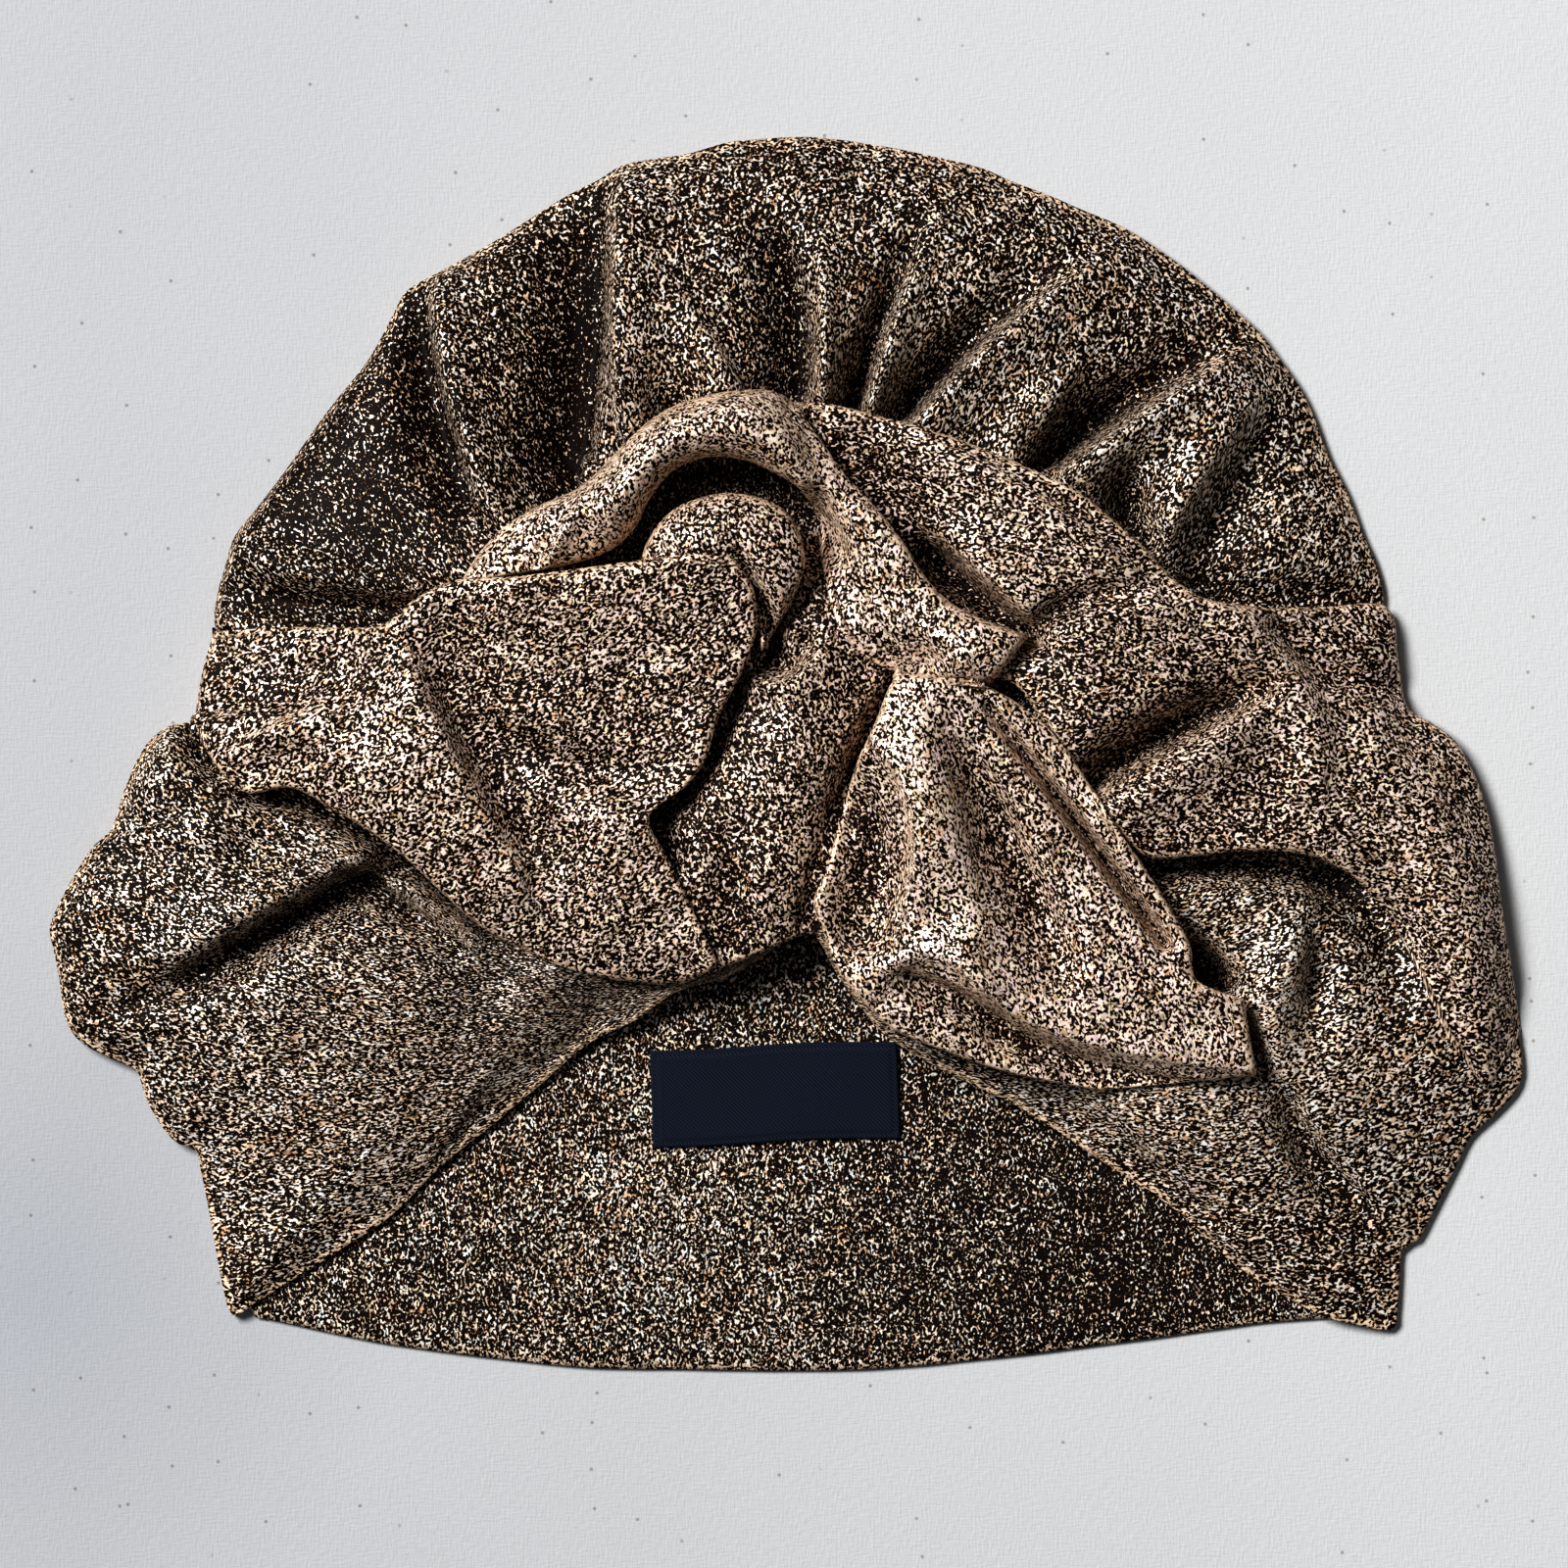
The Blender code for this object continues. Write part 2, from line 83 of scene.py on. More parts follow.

# How the knit looks in a piece: the pitch of its flecks against the usual one, how many times longer
# than wide they are, and the colours of the whitest flecks and of the painted tan sheen on rolled edges
# and steep faces
Look = namedtuple("Look", "pitch dash white turned")
KNIT_ACROSS = Look(1.0384, 1.3, (1.0, 0.79, 0.77), (0.92, 0.7, 0.52))
KNIT_ALONG = Look(0.9328, 1.5, (0.97, 0.97, 0.97), (0.92, 0.7, 0.5))
KNIT_INSIDE = Look(0.88, 1.4, (0.9, 0.99, 1.0), (0.85, 0.68, 0.52))


def fold_table(*rows):
    return tuple(Fold(*row) for row in rows)


def section_table(*rows):
    return tuple(Section(*row) for row in rows)


# The crown's height, by its way from the knot to the outline in hundredths, and what it ends at
DOME = ((0, 12.0), (30, 13.0), (45, 16.0), (60, 17.0), (75, 15.5), (88, 12.5), (100, 9.0))
DOME_END = 9.0

# The outline, as places in order round it
LEFT_SIDE = (
    (-124, -125.8), (-126.3, -118.8), (-129.1, -103.4), (-131.3, -92.4), (-132.4, -88.4),
    (-136.8, -86.9), (-141.2, -81.4), (-143.9, -75.9), (-145.6, -70.8), (-152.2, -67.8),
    (-158.8, -63.8), (-161.7, -58.3), (-162.8, -50.6), (-164.3, -42.9), (-165, -38.5), (-161, -29.7),
    (-155.5, -20.9), (-151.1, -16.5), (-147.8, -6.6), (-143.4, 2.2), (-137.9, 6.6), (-133, 7.5),
    (-127, 14),
)
CROWN = (
    (-125, 22), (-128, 29), (-127.6, 35.2), (-125.8, 41.8), (-123.6, 48.8), (-118.8, 55),
    (-113.7, 61.6), (-108.2, 69.3), (-102.7, 77), (-98.3, 82.5), (-93.9, 88), (-89.5, 95.7),
    (-85.8, 103), (-81.8, 106), (-76.3, 108.9), (-66.4, 114.4), (-57.6, 119.9), (-48.8, 125.4),
    (-42.2, 128.7), (-35.6, 132.4), (-22.4, 134.6), (-13.6, 137.1), (-7, 137.9), (6.2, 138.4),
    (21.6, 136.4), (32.6, 134.2), (43.6, 131.6), (50.2, 128.7), (59, 125.4), (65.6, 122.5),
    (76.6, 117.7), (87.6, 110.4), (96.4, 103.4), (105.2, 95.7), (109.6, 90.2), (115.1, 82.5),
    (118.4, 75.9), (121.7, 67.1), (126.1, 58.3), (129.4, 49.5), (132.7, 41.8), (134, 34),
)
RIGHT_SIDE = (
    (131, 24), (132, 12), (138, 3), (147, -6), (152, -20), (156, -40), (162, -56), (164.8, -66),
    (164.6, -74), (159.4, -80.4), (153.6, -85.8), (150.3, -92.4), (147, -99), (143.7, -105.6),
    (141.9, -108.9), (138.2, -111.1), (137.7, -116.6), (137.1, -125.4), (136, -129.1),
)
# Each place on the brim also has how far the cloth's underside stands over the surface
BRIM = (
    (127, -127.6, 2.4), (118.4, -125, 2.4), (100.8, -114.4, 2.8), (87.6, -102.3, 3.4), (72.2, -92, 4.4),
    (54.6, -80.3, 6), (43.6, -74.8, 7), (32.6, -69.3, 8), (22.7, -63.1, 9.5), (17.2, -57.2, 10.5),
    (11.7, -49.5, 11.5), (4.4, -38.5, 12), (-4.8, -45.1, 12), (-13.6, -49.9, 11.5), (-24.6, -53.2, 9),
    (-33.4, -59.4, 6), (-44.4, -64.9, 3.5), (-55.4, -74.4, 2.5), (-66.4, -83.6, 2.4),
    (-77.4, -92.4, 2.4), (-88.4, -103.4, 2.4), (-101.6, -112.2, 2.3), (-110.4, -117.7, 2.3),
    (-119, -123, 2.3),
)
HEM = (
    (136, -128), (127.2, -126.5), (109.6, -127.2), (87.6, -130.2), (65.6, -133.1), (43.6, -135.7),
    (21.6, -137.7), (0, -138.2), (-22.4, -137.9), (-44.4, -137.5), (-66.4, -135.3), (-88.4, -132.4),
    (-103.8, -129.4), (-117, -126.5),
)

CROWN_FOLDS = fold_table(
    # left of the arch
    ((-122.5, 46, 1.5), (-110.4, 40.7, 3), (-84, 36.7, 2.5), 5, 1.8),
    ((-122, 37, -2), (-105, 34, -5), (-80, 32, -6), 2.5, 6),
    ((-81, 104, -4), (-78.5, 84, -8), (-71.5, 60, -5), 1.6, 7),
    ((-79, 104, 2), (-75, 80, 4.5), (-64.5, 51, 3.5), 8, 2),
    # the widest pleat
    ((-42.5, 124, -4), (-42, 100, -12), (-45, 68, -14), 2, 14),
    ((-36, 130, 2), (-38, 103.4, 6), (-36.5, 73, 5.5), 9, 1.8),
    # over the arch
    ((-24.6, 103.4, 1), (-16.5, 91, 4), (-10.5, 81, 4.5), 1.8, 7),
    ((-31, 84, -1), (-28, 79, -4), (-25, 74, -5), 4, 4),
    ((-3, 121, -2), (3, 100, -9), (3.2, 80, -10), 1.8, 9),
    ((7.5, 114, 2), (8.3, 96, 5), (8, 80, 5.5), 3.5, 1.6),
    ((28.5, 114, -2.5), (20.5, 94, -9), (15.3, 77, -11), 1.6, 4),
    ((31, 114.4, 1.5), (24, 95, 4.5), (18.8, 77, 5), 4.5, 1.6),
    # right of the arch
    ((58, 106, -2), (44, 94.5, -9), (27, 76, -10), 1.8, 6),
    ((74, 113, 1), (49.5, 94, 5.5), (27.5, 72, 5), 8, 1.8),
    ((66, 88, 1), (59.5, 77, 4), (54.5, 67, 4), 1.6, 8),
    ((96, 90, -3), (76, 78, -11), (60.5, 66, -12), 1.8, 7),
    ((108, 92.5, 1.5), (83, 77, 5.5), (62.5, 62.5, 5), 7, 1.8),
    ((79, 64, -3), (76, 56, -10), (80, 48, -8), 4.5, 4.5),
    ((107.4, 83, 2), (93, 63, 6), (83, 45, 5), 2.2, 9),
    ((110, 78, -2), (99, 58, -5), (90, 42, -4), 10, 2.5),
    ((93, 37, -4), (110, 34.5, -6), (130, 35, -4), 5, 3),
    # below the wraps: under the valley of the right one, under the arch's opening, beside the strand
    ((64, -8, -6), (86, 3, -9), (106, 12, -5), 8, 7),
    ((-38, 44, -6), (-14, 65, -7), (14, 47, -7), 6, 6),
    ((33, 45, -8), (41, 38, -9), (54, 27, -8), 6, 6),
)
# Where the cloth lies lower over a wide stretch
HOLLOWS = fold_table(
    ((-114, -20, -3), (-88, -33, -5), (-64, -46, -4), 10, 12),
    ((-50, -58, -2.5), (-76, -72, -4), (-104, -96, -2.5), 15, 15),
)
CHEEK_FOLDS = fold_table(
    # left lobe and cheek
    ((-135, 8, -5), (-131, 1, -8), (-127.5, -4, -4), 3, 3),
    ((-138, 6, 3), (-141, -3, 3), (-147, -15, 1.5), 5, 4),
    ((-132, -4, 1.5), (-126, -8.5, 2), (-120, -12, 1), 1.5, 2),
    ((-121, -10, -5), (-97.5, -15.5, -11), (-66.5, -38, -11), 6, 2.4),
    ((-103, -20, 2), (-85.5, -30.5, 4.5), (-69, -42, 3), 1.5, 1.6),
    ((-94, -27.5, -5), (-85, -34, -7), (-73, -43, -3), 1.6, 3.5),
    ((-92, -26.5, -7), (-112, -37, -11), (-134, -50, -5), 5, 2.2),
    ((-94, -23, 2.5), (-114, -32.5, 4), (-136, -46, 2), 1.8, 6),
    ((-134, -50, -3), (-145, -55, -3), (-155, -58, -1.5), 4, 4),
    ((-154.4, -22, -0.8), (-138, -23, -1.6), (-121.4, -21.5, -1), 3, 3),
    ((-66.4, -47, -0.8), (-71, -59.4, -1.2), (-80, -79.2, -0.6), 6, 6),
    # right cheek
    ((79, -27, -5), (101, -25, -9), (124, -29, -7), 5, 3),
    ((124, -29, -7), (132, -37, -7), (137, -52, -4), 5, 7),
    ((118, -38, -3), (117.5, -50, -5), (117, -60, -2), 6, 2),
    ((118.5, -38, 1.5), (110.5, -53, 3.5), (109.5, -69, 2), 3, 6),
    ((112, -77, -4), (118.5, -89, -9), (132, -103, -3), 2.2, 4.5),
    ((101, -95, -2), (114, -103, -3), (127, -112, -1), 8, 8),
    # along the right brim
    ((27, -58, -2), (62, -79, -3), (96, -104, -2), 4, 2.5),
    # the strip beside the tail, and the two holes at its tip
    ((71, -18, -5), (78, -30, -7), (87, -43, -8), 1.6, 4),
    ((73, -15, 2), (81, -30, 4), (90, -43, 3), 1.6, 1.6),
    ((88.5, -43, -10), (93, -47.5, -18), (97, -51, -10), 4.2, 4.2),
    ((98, -58, -6), (103, -62, -8), (107.5, -71.5, -3), 2, 2.5),
)

RIGHT_WRAP = section_table(
    (0, 79, 20, 5, 58, 18), (11, 77.8, 22, 14, 48, 18), (22, 75, 23, 24, 36, 18),
    (33, 72, 24, 33, 24, 20), (44, 68, 24, 43, 18, 22), (56, 63, 24, 51, 15.4, 24),
    (65.6, 58.3, 24, 56, 9, 24), (73, 52, 24, 61, 2.2, 24),
    (79.5, 46.5, 23, 67.8, -8.8, 24), (86, 39.5, 22, 74.4, -17.6, 23),
    (94, 34.5, 20, 81, -23, 22), (107, 32.8, 17, 90, -22.8, 21.5),
    (120, 33, 11, 100.5, -21.6, 21), (134.8, 33, 5, 110, -21.6, 20.5, 3, 1, 1),
    (137.5, 20, 5, 118, -23, 19.5, 4, 1, 1), (139.5, 10.5, 5, 126, -27, 18, 4, 1, 0.8),
    (145, 7, 5, 133, -34, 16, 3, 1, 0.4), (151.5, 1, 5, 138, -42, 14, 3, 1, 0.1),
    (157.5, -13.5, 5, 143, -52, 12, 3, 1, 0), (160.8, -36, 5, 148, -63, 11, 3, 1, 0),
    (162.8, -48, 5, 152, -69, 10, 2, 1, 0), (165, -62, 4.5, 157, -75, 8, 1, 1, 0),
)
RIGHT_WRAP_FOLDS = fold_table(
    # beside the strand, and the hole there
    ((16, 66, -4), (24, 54, -6.5), (32, 42, -6), 7, 8),
    ((34, 45, -9), (40.5, 38, -14), (53, 28, -9), 1.8, 5),
    ((36, 47, 2.5), (44.5, 40.5, 4), (55, 31, 3), 6, 1.5),
    # the thin lip along the upper edge
    ((31, 69.5, 1.5), (54, 58, 3), (82, 36.5, 2), 1.3, 7),
    # the bump and the valley below it
    ((55, 27, -6), (65, 34, -4.5), (86, 37.5, -1.5), 2.5, 2.5),
    ((84, 36, 2), (108, 25, 5), (119.5, -2, 3), 3.5, 7),
    ((68, -7, -10), (86, 4.5, -13), (106, 13.5, -5), 5.5, 2.2),
    ((70, -13, 2), (86, -5, 3.2), (105, 10, 2.5), 3, 7),
    ((109, 28, -3), (121, 19.5, -4), (136, 15.5, -3), 2.5, 3.5),
    ((126, 8, 1), (144, -14, 4), (152, -46, 3), 8, 9),
)

UPPER_WRAP = section_table(
    (-73, 37.4, 22, -54, 41, 24, 3), (-67, 46.5, 22, -45, 43, 24, 4),
    (-58, 54, 22, -38, 46, 24, 6), (-46, 59.5, 23, -33.4, 50.6, 25, 8),
    (-38, 67, 24, -30, 57.2, 26, 8), (-30, 74.6, 24, -24.6, 63.3, 26, 8),
    (-22.4, 78.5, 25, -17, 66, 27, 8), (-11.4, 80.9, 26, -9, 65.3, 27, 8),
    (-0.4, 80, 26, -2.6, 62.5, 27, 7, 0.7), (7, 71, 26.5, 3, 59, 27, 5, 0.5),
    (13.4, 62, 27.5, 7, 53, 25, 3, 0.6, 0.3), (20, 55, 28, 8, 44, 23, 2, 0.9, 0),
    (26.6, 46.6, 28, 10, 34, 22, 2, 1, 0), (31, 39.5, 28, 14, 25, 22, 2, 1, 0),
    (37, 33.5, 28, 24, 18.5, 23, 3, 1, 0.1), (45, 29.5, 28, 36, 16.5, 26, 4, 1, 1),
    (54, 26.5, 27, 46, 15.8, 27, 3, 1, 1),
)
UPPER_WRAP_FOLDS = fold_table(
    ((-45, 58, 1.5), (-49, 50, 2.5), (-53, 42, 2), 1.4, 5),
    ((-46.5, 59, -1.5), (-51, 50, -2.5), (-55.5, 42, -2), 1.2, 2.5),
)

KNOT_CORE = section_table(
    (-33, 38, 26, -22.5, 28.5, 27, 2), (-31, 47, 26, -19, 33, 28, 2),
    (-25.5, 54, 27, -16, 35, 28, 3), (-18, 57.3, 28, -12.5, 36.5, 29, 3),
    (-11, 58, 28, -9.5, 35, 29, 3), (-2.6, 55.8, 28, -8, 33, 29, 3),
    (2.6, 50.5, 28, -7, 29.5, 29, 3), (4.2, 42, 28, -6, 26.5, 28, 2),
    (1, 33, 26, -5.5, 22.5, 26, 1),
)
KNOT_CORE_FOLDS = fold_table(
    ((-26, 44, 1), (-12, 52, 1.5), (1, 43, 1), 6, 6),
    ((-10.5, 44, -2), (-5.5, 35, -5), (-3, 28, -6), 1.6, 2.5),
)

CENTRE_WRAP = section_table(
    (-4, 50, 12, 18, 50, 16, 1), (-7, 40, 14, 24, 40, 19, 2),
    (-11.5, 24, 18, 28, 27, 19, 3), (-17, 11, 20, 29, 14, 17, 4),
    (-22.5, -2, 21, 23, 0, 16, 5), (-30, -15.5, 20, 19.5, -13, 15, 5),
    (-29, -26.5, 20, 14.5, -24, 15, 5), (-24.5, -37.5, 19, 9.5, -33, 15, 4),
    (-18, -49.5, 18, 5.5, -39.5, 15.5, 3),
)
CENTRE_WRAP_FOLDS = fold_table(
    ((8, 34, 2), (5, 8, 4), (-2, -32, 3), 10, 10),
    ((-12, -22, -1.5), (-12, -32, -3), (-11, -46, -1.5), 4, 5),
    # the pocket beside the core, with its small lip
    ((-4, 36, -8), (-3.5, 30, -11), (-2.5, 24, -8), 2.5, 2.5),
    ((4.5, 26, -4), (1.5, 20.5, -5), (-5, 20, -5), 2.2, 2),
    ((-8, 17, 2), (0, 15.5, 3), (5, 22, 2), 1.5, 3.5),
    # the notch in the petal, and the gaps along the petal and the tail
    ((-24, -9, -7), (-28, -15.5, -13), (-25.5, -22, -6), 3, 4),
    ((-10, 17, -4), (-14.5, 4, -5), (-22, -8, -5), 2.5, 3),
    ((27, 18, -3), (15, -2, -6), (5, -37, -6), 4, 2.2),
)

LEFT_WRAP = Edges(
    top=(
        (-128, 27.5, 8), (-120, 28, 10), (-110.5, 28.5, 14), (-99, 28.3, 18), (-89.5, 29, 22), (-82, 35, 25),
        (-73, 38.8, 27), (-60, 39.5, 29), (-45, 41.3, 31), (-33, 43, 32), (-22, 44.2, 33), (-11.5, 43.6, 33),
    ),
    bottom=(
        (-132.5, 8, 8), (-129, 0, 11), (-121, -8.5, 15), (-110.4, -7.5, 18), (-101.5, -12.1, 19),
        (-93.5, -16.7, 20), (-84.5, -23.4, 20), (-76, -31.4, 19), (-68.6, -38, 18), (-57, -44.5, 15.5),
        (-44.4, -49, 13.5), (-33, -51, 14), (-22.5, -51, 15.5), (-15, -46.5, 18),
    ),
    left=((-128, 27.5, 8), (-130.5, 19, 8), (-132.5, 8, 8)),
    right=(
        (-11.5, 43.6, 33), (-7.5, 37.5, 32), (-6.2, 29.5, 30), (-8.2, 21.5, 28.5), (-11.4, 15, 28),
        (-15.2, 7.5, 27.5), (-17.6, -0.5, 27), (-22, -7, 26), (-28.8, -11.8, 25.5), (-30.2, -15.6, 25),
        (-26.8, -22, 24.5), (-22.4, -30.8, 23.5), (-18.2, -40, 21), (-15, -46.5, 18),
    ),
)
LEFT_WRAP_FOLDS = fold_table(
    ((-86, 27, 2), (-78, 6, 4), (-60, -26, 3), 2.5, 9),
    ((-77, 24, -2), (-71, 5, -4.5), (-56, -18, -3), 8, 3),
    ((-60, 36, 1.5), (-36, 33, 2), (-24, 26, 1), 9, 12),
    ((-64, 4, -2), (-44, -3, -3.5), (-27, -2, -1), 5, 4),
    ((-58, -9, 1), (-42, -13, 2), (-31, -12, 1.5), 3, 6),
    ((-34, -10, 1), (-40, -28, 3), (-36, -44, 2), 10, 10),
    ((-134, 6, -2), (-121, 10, -4), (-106, 17, -2), 5, 3),
    ((-131, -4, 2), (-119, 3, 3.5), (-103, 9, 2.5), 2, 5),
    ((-108, 4, 1), (-98, 2, 2), (-90, -8, 2), 10, 8),
)

RIGHT_TAIL = section_table(
    (25, 18.5, 27, 42.5, 16, 26), (22.5, 14, 28, 49, 13, 26),
    (19.8, 7, 28, 56, 8, 26), (16.5, 0, 28, 62.4, 1, 25.5),
    (14.5, -6, 27, 68.4, -7.8, 25), (12, -15, 26, 73.4, -16.2, 25),
    (8.8, -26, 25, 80.4, -25.8, 24), (6.2, -33, 24, 86, -35, 24),
    (8.4, -39.6, 24, 90, -42.5, 24), (11.7, -48.4, 24, 91, -49.5, 24),
    (17.2, -55, 23, 95.5, -52.4, 24), (24, -61.3, 22, 101.8, -54.6, 23),
    (35, -66, 20.5, 102.6, -58, 22), (50, -71, 19, 103.5, -64, 21),
    (70, -75, 18, 105, -71.5, 18.5),
)
RIGHT_TAIL_FOLDS = fold_table(
    ((30, 12, 1), (36, -12, 3), (42, -40, 3), 4, 6),
    # the recess left of the tail's body, with the lip over it
    ((14, -7, -5), (19, -22, -12), (17, -39, -8), 5, 6),
    ((20, 2, 2), (28.5, -14, 5), (27, -33, 3.5), 7, 1.6),
    ((40, 0, -4), (51, -21, -9), (62, -46, -4), 3, 7),
    # the groove inside the strip along its right edge
    ((45, 10.5, -3), (65.5, -16, -10), (84.5, -42, -8), 1.4, 1.6),
    # the turned lower edge over the brim
    ((21, -52, 1), (31, -44.5, 3.5), (43, -51.5, 3), 6, 1.5),
    ((43, -51.5, 3), (66, -63.5, 3.5), (104, -70, 2), 7, 1.5),
    ((26, -49, -3), (37, -53, -8), (48, -60, -8), 1.5, 4.5),
    ((48, -60, -8), (70, -69.5, -6), (104, -76, -3), 1.5, 4),
)

WRAPS = (
    Wrap("right_wrap", RIGHT_WRAP, RIGHT_WRAP_FOLDS, 1.5, (0, 0), 80, (0.13, 0.115), 0.38),
    Wrap("centre_wrap", CENTRE_WRAP, CENTRE_WRAP_FOLDS, 1.5, (0, 1), 15, (0.11, 0.055), 0.23),
    Wrap("upper_wrap", UPPER_WRAP, UPPER_WRAP_FOLDS, 2.5, (1, 1), 10, (0.18, 0.036), 0.68),
    Wrap("knot_core", KNOT_CORE, KNOT_CORE_FOLDS, 2.2, (1, 1), 20, (0.06, 0.036), 0.45),
    Wrap("left_wrap", LEFT_WRAP, LEFT_WRAP_FOLDS, 1.5, (1, 1), -60, (0.13, 0.095), 0.37),
    Wrap("right_tail", RIGHT_TAIL, RIGHT_TAIL_FOLDS, 1.5, (1, 1), 20, (0.12, 0.095), 0.66),
)

# A patch of a panel painted lighter or, below zero, darker, where its knit shows more or less of the metallic
# thread
Tone = namedtuple("Tone", "x y reach cover")
# On the front: the crown darker on the left and lighter on the right, lighter cheeks, and a painted highlight
# along the lip of the right brim
FRONT_PAINTED_TONES = (
    Tone(-100, 62, 34, -0.52), Tone(115, 55, 34, 0.15),
    Tone(-100, -70, 45, 0.2), Tone(105, -65, 42, 0.42), Tone(60, -72, 20, 0.25),
)
# On the back: painted shade in the opening beside the right brim, and a lighter patch left of the middle
BACK_PAINTED_TONES = (Tone(70, -118, 42, -0.35), Tone(-30, -98, 30, 0.2))

# How thick the back, which lies under the rest, and the label are
BACK_WALL = 0.5
LABEL_WALL = 0.45
# What the panels and the label were cut to, in metres, and the panels' flat areas
BACK_CUT, BACK_AREA = (0.27, 0.272), 0.0575
FRONT_CUT, FRONT_AREA = (0.33, 0.28), 0.068
LABEL_CUT = (0.0555, 0.0218)
# Between a layer of cloth and the one above it
GAP = 0.3
# The share of its thickness that cloth keeps where it thins out
THINNEST = 0.12
# Vertices that lie closer together than this are merged
MERGED = 0.01
# How far in from a rolled edge the painted highlight and tan sheen reach
RIM_LIGHT_WIDTH = 1.9
# The upright part of a face's normal where the painted tan sheen of steep faces begins, and how
# much less gives it in full
SHEEN_FROM, SHEEN_RANGE = 0.62, 0.4


# Shapes

def smooth_curve(rows, spacing, closed=False, closeness=None, watched=None):
    """Rows of numbers about spacing apart, on smooth curves through the rows of a table. They stand
    closer by the factor in a closeness column, and where watched columns change faster than x and y."""
    rows = np.array(rows, dtype=float)
    steps = 12
    count = len(rows)
    spans = count if closed else count - 1
    places = np.arange(spans * steps + 1) / steps
    lower = np.minimum(places.astype(int), spans - 1)
    t = (places - lower)[:, None]

    def row(index):
        return rows[index % count] if closed else rows[np.clip(index, 0, count - 1)]

    before, start, end, after = row(lower - 1), row(lower), row(lower + 1), row(lower + 2)
    fine = 0.5 * (
        2 * start
        + (end - before) * t
        + (2 * before - 5 * start + 4 * end - after) * t**2
        + (3 * start - before - 3 * end + after) * t**3
    )
    gaps = np.linalg.norm(np.diff(fine[:, :2], axis=0), axis=1)
    if watched is not None:
        gaps = np.maximum(gaps, np.linalg.norm(np.diff(fine[:, watched], axis=0), axis=1))
    if closeness is not None:
        gaps = gaps * (fine[1:, closeness] + fine[:-1, closeness]) / 2
    travel = np.concatenate([[0], np.cumsum(gaps)])
    wanted = np.linspace(0, travel[-1], max(2, round(travel[-1] / spacing) + 1))
    return np.stack([np.interp(wanted, travel, column) for column in fine.T], axis=-1)


def three_point_curve(fold, t):
    """Points and heights along a fold, on the curve through its start, middle and end."""
    start, middle, end = (np.array(point, dtype=float) for point in (fold.start, fold.middle, fold.end))
    t = t[:, None]
    return start * (1 - t) * (1 - 2 * t) + middle * 4 * t * (1 - t) + end * t * (2 * t - 1)


def fold_height(x, y, folds, samples=17, far=3.0):
    """How much a table of folds adds to the cloth's height over each place."""
    total = np.zeros(np.shape(x))
    for fold in folds:
        line = three_point_curve(fold, np.linspace(0, 1, samples))
        reach = far * max(fold.left, fold.right)
        near = (
            (x > line[:, 0].min() - reach) & (x < line[:, 0].max() + reach)
            & (y > line[:, 1].min() - reach) & (y < line[:, 1].max() + reach)
        )
        place = np.stack([x[near], y[near]], axis=-1)[:, None, :]
        origin, step = line[:-1, :2], line[1:, :2] - line[:-1, :2]
        offset = place - origin
        share = np.clip((offset * step).sum(-1) / (step * step).sum(-1), 0, 1)
        distance = np.linalg.norm(offset - share[..., None] * step, axis=-1)
        nearest = distance.argmin(-1)
        rows = np.arange(len(nearest))
        side = (step[:, 0] * offset[..., 1] - step[:, 1] * offset[..., 0])[rows, nearest]
        height = (line[:-1, 2] + share * (line[1:, 2] - line[:-1, 2]))[rows, nearest]
        width = np.where(side > 0, fold.left, fold.right)
        total[near] += height * np.exp(-((distance[rows, nearest] / width) ** 2))
    return total


def unevenness(x, y, height, wavelength, seed):
    """Soft waves over the cloth, the same each time."""
    rng = np.random.default_rng(seed)
    total = np.zeros(np.shape(x))
    waves = 14
    shortest, longest = 0.6, 1.7
    for _ in range(waves):
        turn, phase = rng.uniform(0, 2 * np.pi, 2)
        length = wavelength * rng.uniform(shortest, longest)
        total += np.sin((x * np.cos(turn) + y * np.sin(turn)) * 2 * np.pi / length + phase)
    return height * total / math.sqrt(waves / 2)


def spread(values, rounds):
    """Values of a grid, each shared out over its neighbours."""
    for _ in range(rounds):
        padded = np.pad(values, 1, mode="edge")
        values = (
            padded[1:-1, 1:-1] * 2 + padded[:-2, 1:-1] + padded[2:, 1:-1]
            + padded[1:-1, :-2] + padded[1:-1, 2:]
        ) / 6
    return values


